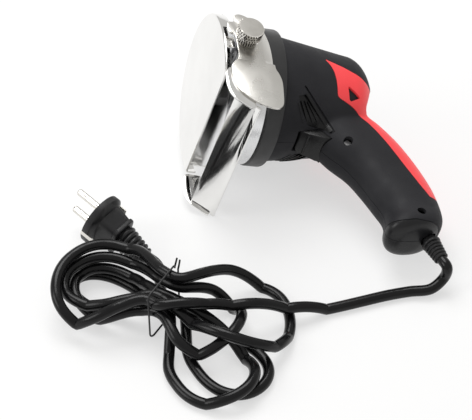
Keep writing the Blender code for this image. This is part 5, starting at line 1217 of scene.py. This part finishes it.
show(
    "turned_bearing_ring", cut(ring_mesh, *holes), "slicer", "turned_aluminium", HEAD,
    ("bearing_ring",),
)

# %% [markdown]
# The screws of the head are all one socket screw. It is made once, and a tree sets
# a copy at each place. Two lengths need two rows of places.
# %% A tree that sets copies at points
sets, source, sink = new_grower("set_copies", ("Copy", "NodeSocketObject", None))
master = add(sets, "GeometryNodeObjectInfo", {"Object": source.outputs["Copy"], "As Instance": True})
copies = add(
    sets, "GeometryNodeInstanceOnPoints",
    {"Points": source.outputs["Geometry"], "Instance": master.outputs["Geometry"]},
)
sets.links.new(dressed(sets, realized(sets, copies.outputs[0]), source), sink.inputs[0])


SOCKET, SOCKET_DEPTH = 0.0015, 0.0013
RING_SCREW, LEG_SCREW, POST_SCREW_LENGTH = 0.0172, 0.0095, 0.0128  # lengths under the head


def screw_row(name, places, length, nodes):
    """Row of socket screws along Y at (x, under head, z) places."""
    head = turned([
        (0.0, 0.0), (FASTENER_HEAD - 0.0002, 0.0), (FASTENER_HEAD, 0.0003),
        (FASTENER_HEAD, FASTENER_HEIGHT - 0.0005), (FASTENER_HEAD - 0.0005, FASTENER_HEIGHT),
        (0.0, FASTENER_HEIGHT),
    ], 40)
    shank = cut_out(disc(FASTENER_RADIUS, sides=24), "Y", -length, 0.0006)
    socket = cut_out(disc(SOCKET, sides=6), "Y", FASTENER_HEIGHT - SOCKET_DEPTH, FAR)
    screw = linked("screw", cut(joined(head, shank), socket))
    points = bpy.data.meshes.new("places")
    points.from_pydata(places, [], [])
    mesh = grown(sets, points, Copy=screw, Look=LOOKS["fastener_steel"])
    bpy.data.objects.remove(screw)
    return show(name, mesh, "slicer", None, HEAD, nodes)


under = RING_FRONT - FASTENER_HEIGHT - FIT
replaced = ("ring_screw_1", "ring_screw_2", "ring_screw_3")
screw_row("ring_screws", [(x, under, z) for x, z in ring_spots], RING_SCREW, replaced)
under = RING_FRONT + 2.0 * FIT + SHEET
replaced = ("guard_screw_1", "guard_screw_2")
screw_row("guard_screws", [(x, under, z) for x, z in leg_spots], LEG_SCREW, replaced)
under = RING_FRONT + POST_DEPTH - FASTENER_HEIGHT - FIT
screw_row("guide_post_screw", [(POST_SCREW[0], under, POST_SCREW[1])], POST_SCREW_LENGTH, ("post_screw",))

# %% [markdown]
# The round blade turns on the spindle behind the guard: a flat disc with a ground
# bevel at its edge, on a hub, under a hexagon nut.
# %% Blade, hub and nut
GUARD_FRONT = RING_FRONT + 0.0170
GUARD_INNER = GUARD_FRONT - SHEET
BLADE_FRONT = GUARD_INNER - 0.0038
BLADE_BACK = BLADE_FRONT - 0.0012
BLADE_RADIUS, BLADE_BORE = 0.0495, 0.0043
NUT_RADIUS, NUT_HEIGHT, NUT_TURN = 0.0080, 0.0026, math.radians(4)
HUB_BORE, HUB_SLIM, HUB_NECK, HUB_RADIUS, HUB_FLANGE = 0.0053, 0.0065, 0.0090, 0.0150, 0.0055
HUB_FRONT = BLADE_BACK - FIT
HUB_BACK = RING_BACK + FIT + BEARING_WIDTH + LEDGE_HEIGHT + 2.0 * FIT + BEARING_WIDTH + FIT
blade = turned([
    (BLADE_BORE, BLADE_BACK), (BLADE_RADIUS - 0.0055, BLADE_BACK),
    (BLADE_RADIUS - 0.0012, BLADE_FRONT - 0.0005), (BLADE_RADIUS, BLADE_FRONT - 0.0001),
    (BLADE_RADIUS, BLADE_FRONT), (BLADE_RADIUS - 0.0016, BLADE_FRONT), (BLADE_BORE, BLADE_FRONT),
], 180)
show("round_blade", blade, "blade_spindle", "blade_steel", HEAD, ("blade",))
neck_back, flange_back = RING_FRONT + 2.0 * FIT, HUB_FRONT - HUB_FLANGE
hub = turned([
    (HUB_BORE, HUB_BACK), (HUB_SLIM, HUB_BACK), (HUB_SLIM, neck_back), (HUB_NECK - 0.0002, neck_back),
    (HUB_NECK, neck_back + 0.0002), (HUB_NECK, flange_back), (HUB_RADIUS - 0.0004, flange_back),
    (HUB_RADIUS, flange_back + 0.0004), (HUB_RADIUS, HUB_FRONT), (HUB_BORE, HUB_FRONT),
], 96)
show("turned_hub", hub, "blade_spindle", "fastener_steel", HEAD, ("blade_hub",))
corners = arc((0.0, 0.0), NUT_RADIUS, NUT_TURN, NUT_TURN + 2.0 * math.pi, 6)[:-1]
nut = cut(
    cut_out(corners, "Y", BLADE_FRONT + FIT, BLADE_FRONT + FIT + NUT_HEIGHT),
    rod(BLADE_BORE, 0.0, GUARD_FRONT),
)
show("hexagon_nut", eased(nut, 0.0003), "blade_spindle", "fastener_steel", HEAD, ("blade_nut",))

# %% [markdown]
# The guard is a shallow pan of polished sheet that is pressed and then cut: a chord
# opens it where the meat meets the blade, and a notch lets the guide's edge pass.
# %% The front guard
GUARD_RADIUS = 0.0555
GUARD_SHIFT = Vector((0.0020, 0.0, -0.0030))
GUARD_BACK = GUARD_FRONT - 0.0070
GUARD_CHORD = 0.0280
ROLL, INNER_ROLL = 0.0015, 0.0007
LEG_HALF_WIDTH = 0.0060
EDGE_SLOT_LOW, EDGE_SLOT_HIGH, CORNER_TOP = -0.0004, 0.0098, -0.0090

# %% The pressed guard
inner = GUARD_RADIUS - SHEET
quarter = 0.5 * math.pi
outer_roll = arc((GUARD_RADIUS - ROLL, GUARD_FRONT - ROLL), ROLL, quarter, 0.0, 6)
inner_roll = arc((inner - INNER_ROLL, GUARD_INNER - INNER_ROLL), INNER_ROLL, 0.0, quarter, 3)
pan_profile = [(0.0, GUARD_FRONT), *outer_roll, (GUARD_RADIUS, GUARD_BACK), (inner, GUARD_BACK), *inner_roll]
pan = turned([*pan_profile, (0.0, GUARD_INNER)], 180)
foot_back = RING_FRONT + FIT
foot_inner = FASTENER_CIRCLE - FASTENER_HEAD - SHEET - GUARD_SHIFT.length
outer, inside = GUARD_RADIUS - FIT * 0.5, inner - FIT * 0.5
leg_front, foot_front = GUARD_BACK + 0.003, foot_back + SHEET
leg_profile = [
    (inside, leg_front), (outer, leg_front), (outer, foot_back), (foot_inner, foot_back),
    (foot_inner, foot_front), (inside, foot_front),
]
tools = []
for angle in LEG_ANGLES:
    strip = block(-LEG_HALF_WIDTH, LEG_HALF_WIDTH, 0.0, FAR, 0.0, FAR)
    strip.transform(Matrix.Rotation(angle, 4, "Y"))
    pan = joined(pan, common(turned(leg_profile, 180), strip))
    tools.append(rod(FASTENER_HOLE, 0.0, GUARD_BACK, on_circle(FASTENER_CIRCLE, angle), 24))
pan.transform(Matrix.Translation(GUARD_SHIFT))
left = -GUARD_RADIUS + 0.0080
tools += [
    block(-FAR, FAR, 0.0, FAR, -FAR, -GUARD_CHORD),
    block(-FAR, left, 0.0, GUARD_INNER, EDGE_SLOT_LOW, EDGE_SLOT_HIGH),
    block(-FAR, left, 0.0, GUARD_INNER, -FAR, CORNER_TOP),
]
show(
    "pressed_front_guard", eased(cut(pan, *tools), 0.00025, 2, 40), "slicer", "polished_steel",
    HEAD, ("front_guard",),
)

# %% [markdown]
# The thickness guide is one flat arm with a rounded outline and a bent ear, and a
# folded strip that stands beside the open side of the guard.
# %% The guide arm
REACH = 0.0600
ARM_OFFSET, ARM_PLATE = 0.0560, 0.0015
ARM_OUTER = -ARM_OFFSET - ARM_PLATE
GUIDE_TRAVEL = 0.0050
KNOB_Y = RING_FRONT + 0.0035
SCREW_RADIUS, SCREW_DEPTH = 0.0020, 0.0088
ARM_SHARES = (
    (0.628, 0.267), (0.628, 0.160), (0.715, 0.158), (0.715, -0.003), (0.628, -0.006), (0.628, -0.358),
    (0.692, -0.417), (0.730, -0.483), (0.733, -0.633), (0.708, -0.750), (0.650, -0.842), (0.567, -0.917),
    (0.483, -0.975), (0.400, -1.008), (0.308, -1.025), (0.250, -1.017), (0.208, -0.958), (0.192, -0.800),
    (0.183, -0.633), (0.208, -0.525), (0.242, -0.458), (0.233, -0.300), (0.233, -0.150), (0.250, -0.017),
    (0.283, 0.075), (0.333, 0.150), (0.433, 0.233), (0.550, 0.292),
)
EAR_BEND, EAR_LOW, EAR_BLEND, EAR_SLOPE = 0.37 * REACH, -0.42 * REACH, 0.08 * REACH, 0.45
EAR_SOFT = 0.0024  # half length of the soft bend
plate = cut_out(softened(scaled(ARM_SHARES, REACH, REACH)), "X", ARM_OUTER, -ARM_OFFSET)
slot_outline = arc((KNOB_Y, SCREW_LIFT), SCREW_RADIUS + FIT, -quarter, quarter, 16)
slot_outline += arc((KNOB_Y - GUIDE_TRAVEL, SCREW_LIFT), SCREW_RADIUS + FIT, quarter, 3.0 * quarter, 16)[1:]
plate = cut(plate, cut_out(slot_outline, "X", -FAR, 0.0))
plate = eased(plate, 0.0003)
bm = bmesh.new()
bm.from_mesh(plate)
planes = [((0.0, EAR_BEND - EAR_SOFT * step / 4.0, 0.0), (0.0, 1.0, 0.0)) for step in range(-4, 5)]
planes += [((0.0, 0.0, EAR_LOW + EAR_BLEND * step / 8.0), (0.0, 0.0, 1.0)) for step in range(9)]
for point, normal in planes:
    everything = list(bm.verts) + list(bm.edges) + list(bm.faces)
    bmesh.ops.bisect_plane(bm, geom=everything, plane_co=point, plane_no=normal)
for vertex in bm.verts:
    behind = EAR_BEND - vertex.co.y
    rise = max(behind, 0.0) if abs(behind) > EAR_SOFT else (behind + EAR_SOFT) ** 2 / (4.0 * EAR_SOFT)
    level = min(max((vertex.co.z - EAR_LOW) / EAR_BLEND, 0.0), 1.0)
    vertex.co.x += EAR_SLOPE * rise * level * level * (3.0 - 2.0 * level)
show("guide_side_arm", mesh_of(bm), "thickness_guide", "buffed_plate", HEAD, ("guide_arm",))

# %% The folded strip of the guide
STRIP_RIGHT = 0.0530
HEM_WIDTH, HEM = 0.0030, 0.0020
END_SHARES = (
    (0.517, -0.500), (0.742, -0.478), (0.783, -0.550), (0.800, -0.700), (0.775, -0.833), (0.725, -0.917),
    (0.500, -1.083),
)
front, rear = Vector((0.715, -0.863)) * REACH, Vector((0.478, -1.047)) * REACH
way = (rear - front).normalized()
inward = Vector((way.y, -way.x))
length = (rear - front).length
section = [
    (0.0, 0.0), (length, 0.0), (length + 0.0006, HEM * 0.5), (length, HEM), (length - HEM_WIDTH, HEM),
    (length - HEM_WIDTH, SHEET), (0.0, SHEET),
]
strip_mesh = cut_out(
    [tuple(front + way * one + inward * two) for one, two in section], "X", -ARM_OFFSET + FIT, STRIP_RIGHT,
)
ends = softened(scaled(END_SHARES, REACH, REACH), 2, 0.18)
right_end = cut_out(ends, "X", STRIP_RIGHT - SHEET, STRIP_RIGHT + FIT)
left_end = cut_out(ends, "X", -ARM_OFFSET + FIT * 0.5, -ARM_OFFSET + FIT + SHEET)
show(
    "folded_slice_deflector", eased(joined(strip_mesh, right_end, left_end), 0.0003), "thickness_guide",
    "polished_steel", HEAD, ("slice_deflector",),
)

# %% The guide post
POST_HALF = 0.0060
post = block(
    -ARM_OFFSET + 2.0 * FIT, -POST_INNER, RING_FRONT + FIT, RING_FRONT + POST_DEPTH, SCREW_LIFT - POST_HALF,
    SCREW_LIFT + POST_HALF,
)
post_holes = [
    cut_out(disc(SCREW_RADIUS + FIT, (KNOB_Y, SCREW_LIFT), 24), "X", -FAR, -ARM_OFFSET + SCREW_DEPTH + FIT),
    rod(FASTENER_HOLE, 0.0, FAR, POST_SCREW, 24),
    rod(HEAD_HOLE, RING_FRONT + POST_DEPTH - FASTENER_HEIGHT - 2.0 * FIT, FAR, POST_SCREW, 32),
]
show(
    "threaded_guide_post", eased(cut(post, *post_holes), 0.0003), "slicer", "fastener_steel", HEAD,
    ("guide_post",),
)

# %% [markdown]
# The thumb screw and its lock collar are knurled. A knurl repeats round a circle,
# so a tree sets a small ridge at each of its points, turned to face outward.
# %% A tree that knurls a round
knurl, source, sink = new_grower(
    "knurled_round", ("Count", WHOLE, 40), ("Radius", FLOAT, 0.0085), ("Ridge", VECTOR, None),
    ("Lean", FLOAT, 0.0),
)
spots = add(
    knurl, "GeometryNodeMeshCircle",
    {"Vertices": source.outputs["Count"], "Radius": source.outputs["Radius"]},
)
spot = add(knurl, "GeometryNodeInputPosition")
facing = add(knurl, "FunctionNodeAlignRotationToVector", {"Vector": spot.outputs[0]}, axis="X")
ridge = add(knurl, "GeometryNodeMeshCube", {"Size": source.outputs["Ridge"]})
crossed = add(knurl, "GeometryNodeJoinGeometry")
for sign in (1.0, -1.0):
    turn = add(knurl, "ShaderNodeCombineXYZ", {0: maths(knurl, "MULTIPLY", source.outputs["Lean"], sign)})
    leaning = add(knurl, "GeometryNodeTransform", {"Geometry": ridge.outputs[0], "Rotation": turn.outputs[0]})
    knurl.links.new(leaning.outputs[0], crossed.inputs[0])
copies = add(
    knurl, "GeometryNodeInstanceOnPoints",
    {"Points": spots.outputs[0], "Instance": crossed.outputs[0], "Rotation": facing.outputs[0]},
)
both = add(knurl, "GeometryNodeJoinGeometry", {0: dressed(knurl, realized(knurl, copies.outputs[0]), source)})
knurl.links.new(source.outputs["Geometry"], both.inputs[0])
knurl.links.new(both.outputs[0], sink.inputs[0])


# %% A tool for knurled pieces
def knurled_piece(name, core, level, radius, ridge, count, lean, nodes):
    """Core turned about Y with ridges round it, set on the thumb screw's axis."""
    core.materials.append(LOOKS["nickel_plate"])
    core.materials.append(LOOKS["knurl_painted_shade"])
    # Side faces of the core, between the ridges, take the dark finish as painted shade in the knurl's grooves.
    for face in core.polygons:
        if abs(face.normal.y) < 0.3:
            face.material_index = 1
    stood = Matrix.Rotation(0.5 * math.pi, 4, "X") @ Matrix.Translation((0.0, -level, 0.0))
    core.transform(stood)
    mesh = grown(knurl, core, Count=count, Radius=radius, Ridge=ridge, Lean=lean, Look=LOOKS["nickel_plate"])
    on_axis = Matrix.Translation((0.0, KNOB_Y, SCREW_LIFT)) @ Matrix.Rotation(0.5 * math.pi, 4, "Z")
    mesh.transform(on_axis @ stood.inverted())
    return show(name, mesh, "clamp_screw", None, HEAD, nodes)


# %% Thumb screw and lock collar
COLLAR_INNER = -ARM_OUTER + FIT
COLLAR_OUTER = COLLAR_INNER + 0.0046
KNOB_INNER = COLLAR_OUTER + 0.0005
KNOB_OUTER = KNOB_INNER + 0.0072
KNOB_RADIUS, COLLAR_RADIUS, KNOB_STEM = 0.0085, 0.0065, 0.0035
tip, stem_end = ARM_OFFSET - SCREW_DEPTH, COLLAR_OUTER + FIT
knob = turned([
    (0.0, tip), (SCREW_RADIUS, tip), (SCREW_RADIUS, stem_end), (KNOB_STEM, stem_end), (KNOB_STEM, KNOB_INNER),
    (KNOB_RADIUS - 0.0010, KNOB_INNER), (KNOB_RADIUS - 0.0006, KNOB_INNER + 0.0004),
    (KNOB_RADIUS - 0.0006, KNOB_OUTER - 0.0008), (KNOB_RADIUS - 0.0002, KNOB_OUTER - 0.0006),
    (KNOB_RADIUS - 0.0004, KNOB_OUTER - 0.0001), (KNOB_RADIUS - 0.0012, KNOB_OUTER), (0.0, KNOB_OUTER),
], 96)
knurled_piece(
    "knurled_thumb_screw", knob, (KNOB_INNER + KNOB_OUTER) * 0.5, KNOB_RADIUS - 0.0005,
    (0.0009, 0.0006, 0.0062), 30, 0.42, ("thumb_screw",),
)
collar = turned([
    (SCREW_RADIUS + FIT, COLLAR_INNER), (COLLAR_RADIUS - 0.0009, COLLAR_INNER),
    (COLLAR_RADIUS - 0.0003, COLLAR_INNER + 0.0005), (COLLAR_RADIUS - 0.0003, COLLAR_OUTER - 0.0005),
    (COLLAR_RADIUS - 0.0009, COLLAR_OUTER), (SCREW_RADIUS + FIT, COLLAR_OUTER),
], 96)
knurled_piece(
    "knurled_lock_collar", collar, (COLLAR_INNER + COLLAR_OUTER) * 0.5, COLLAR_RADIUS - 0.0004,
    (0.0009, 0.0007, 0.0040), 26, 0.0, ("lock_collar",),
)

# %% [markdown]
# The plug is a rubber moulding: a round face with two flats, a body that narrows
# through flat facets, and a ribbed boot. It is lofted from sections that go from
# round to nearly square, and the boot's rings come from the ring tree.
# %% The plug
PLUG_FLAT = 0.0170
PLUG_SECTIONS = (  # distance behind the face, half width along the pins, half width across, squareness
    (0.0000, 0.0176, 0.0166, 2.1), (0.0005, 0.0182, 0.0169, 2.1), (0.0040, 0.0185, 0.0170, 2.1),
    (0.0046, 0.0183, 0.0169, 2.1), (0.0068, 0.0150, 0.0130, 3.0), (0.0074, 0.0132, 0.0106, 5.0),
    (0.0120, 0.0122, 0.0096, 6.0), (0.0180, 0.0108, 0.0088, 6.0), (0.0186, 0.0116, 0.0094, 6.0),
    (0.0190, 0.0118, 0.0096, 6.0), (0.0208, 0.0116, 0.0095, 6.0), (0.0212, 0.0112, 0.0092, 6.0),
    (0.0214, 0.0076, 0.0068, 3.0), (0.0330, 0.0056, 0.0052, 2.4), (0.0425, 0.0043, 0.0042, 2.0),
    (0.0435, 0.0038, 0.0038, 2.0),
)
PIN_RADIUS, PIN_LENGTH, PIN_SPACING, PIN_ROOT = 0.0024, 0.0190, 0.0190, 0.0060
CLIP_WIDTH, CLIP_THICKNESS, CLIP_LENGTH = 0.0036, 0.0008, 0.0100
PLUG_SIDES = 72
PLUG_RINGS_START = -0.0405
PLUG_RINGS = {"Count": 6, "Step": 0.0034, "First": 0.0050, "Last": 0.0080, "Thick": 0.0010}
PLUG_TAIL, TAIL_COVER = 0.0110, 0.0007  # sleeve of the boot along the lead: length and thickness

# %% The plug's moulding
plug_turn = Matrix.Rotation(PLUG_HEADING - 0.5 * math.pi, 4, "Z") @ Matrix.Rotation(PLUG_TILT, 4, "X")
PLUG = Matrix.Translation(PLUG_PLACE + TABLE_SHIFT) @ plug_turn
plug_mesh = lofted([
    [(wide * across, -behind, tall * along) for across, along in rounded_ring(PLUG_SIDES, squareness)]
    for behind, tall, wide, squareness in PLUG_SECTIONS
])
tools = []
clip_half = CLIP_WIDTH * 0.5 + FIT
for side in (-1.0, 1.0):
    low, high = sorted((side * PLUG_FLAT, side * FAR))
    tools.append(block(low, high, -FAR, FAR, -FAR, FAR))
    low, high = sorted((side * (PLUG_FLAT - CLIP_THICKNESS - FIT), side * FAR))
    tools.append(block(low, high, -CLIP_LENGTH - FIT, FAR, -clip_half, clip_half))
    tools.append(rod(PIN_RADIUS + FIT, -PIN_ROOT - FIT, FAR, (0.0, side * PIN_SPACING * 0.5), 32))
plug_mesh = cut(plug_mesh, *tools)
tail_steps = np.linalg.norm(np.diff(route_in_frame, axis=0), axis=1)
tail_count = int(np.searchsorted(np.cumsum(tail_steps[::-1]), PLUG_TAIL)) + 1
tail_path = path_curve(route_in_frame[-tail_count:])
tail = grown(sweep, tail_path, Radius=CORD_DIAMETER * 0.5 + TAIL_COVER, Sides=24, Look=LOOKS["plug_rubber"])
tail.transform(PLUG.inverted())
plug_mesh = with_rings(plug_mesh, PLUG_RINGS_START, **PLUG_RINGS, Look=LOOKS["plug_rubber"])
show("moulded_plug", merged(plug_mesh, tail), "slicer", "plug_rubber", PLUG, ("plug_body",))

# %% The round pins
pin = turned([
    (0.0, -PIN_ROOT), (PIN_RADIUS, -PIN_ROOT), (PIN_RADIUS, PIN_LENGTH - 0.0012),
    (PIN_RADIUS - 0.0005, PIN_LENGTH - 0.0004), (PIN_RADIUS - 0.0012, PIN_LENGTH), (0.0, PIN_LENGTH),
], 48)
for index, side in enumerate((1.0, -1.0)):
    mesh = pin.copy()
    mesh.transform(Matrix.Translation((0.0, 0.0, side * PIN_SPACING * 0.5)))
    show(f"round_pin_{index + 1}", mesh, "slicer", "nickel_plate", PLUG, (f"plug_pin_{index + 1}",))

# %% [markdown]
# The table is a plain white plane. It shows white to the camera and in the polished
# steel, and still takes the soft shadows. The studio is a large overhead softbox, a
# weaker one from the left, and an even pale room.
# %% Table and light
FLOOR_GLOW = 0.58
floor_mesh = bpy.data.meshes.new("table")
floor_mesh.from_pydata([(-6, -6, 0), (6, -6, 0), (6, 6, 0), (-6, 6, 0)], [], [(0, 1, 2, 3)])
floor = linked("table", floor_mesh)
white = bpy.data.materials.new("white_table")
white.use_nodes = True
tree = white.node_tree
board = tree.nodes["Principled BSDF"]
board.inputs["Base Color"].default_value = (0.86, 0.86, 0.86, 1.0)
board.inputs["Roughness"].default_value = 0.75
glow = add(tree, "ShaderNodeEmission", {"Color": (1.0, 1.0, 1.0, 1.0), "Strength": 1.0})
rays = add(tree, "ShaderNodeLightPath")
mirrored = maths(tree, "MAXIMUM", rays.outputs["Is Camera Ray"], rays.outputs["Is Glossy Ray"])
seen = maths(tree, "MAXIMUM", mirrored, rays.outputs["Is Transmission Ray"])
share = maths(tree, "MULTIPLY", seen, FLOOR_GLOW)
mix = add(tree, "ShaderNodeMixShader", {0: share, 1: board.outputs[0], 2: glow.outputs[0]})
tree.links.new(mix.outputs[0], tree.nodes["Material Output"].inputs["Surface"])
floor_mesh.materials.append(white)

# %% The room and the lamps
world = bpy.data.worlds.new("studio")
bpy.context.scene.world = world
world.use_nodes = True
tree = world.node_tree
room = tree.nodes["Background"]
room.inputs["Color"].default_value = (1.0, 0.99, 0.97, 1.0)
room.inputs["Strength"].default_value = 0.60
backdrop = add(tree, "ShaderNodeBackground", {"Color": (1.0, 1.0, 1.0, 1.0), "Strength": 1.0})
rays = add(tree, "ShaderNodeLightPath")
mix = add(
    tree, "ShaderNodeMixShader",
    {0: rays.outputs["Is Camera Ray"], 1: room.outputs[0], 2: backdrop.outputs[0]},
)
tree.links.new(mix.outputs[0], tree.nodes["World Output"].inputs["Surface"])


def softbox(name, place, size, watts):
    """Square area light that looks at the slicer."""
    lamp = bpy.data.lights.new(name, "AREA")
    lamp.shape, lamp.size, lamp.energy = "SQUARE", size, watts
    aimed(linked(name, lamp), place, Vector(place))


softbox("overhead", (-0.25, 0.55, 1.30), 0.9, 13.0)
softbox("left_side", (-1.20, -0.30, 0.70), 0.7, 5.0)
bpy.context.scene.view_settings.view_transform = "Standard"
print("lights: overhead and left side")
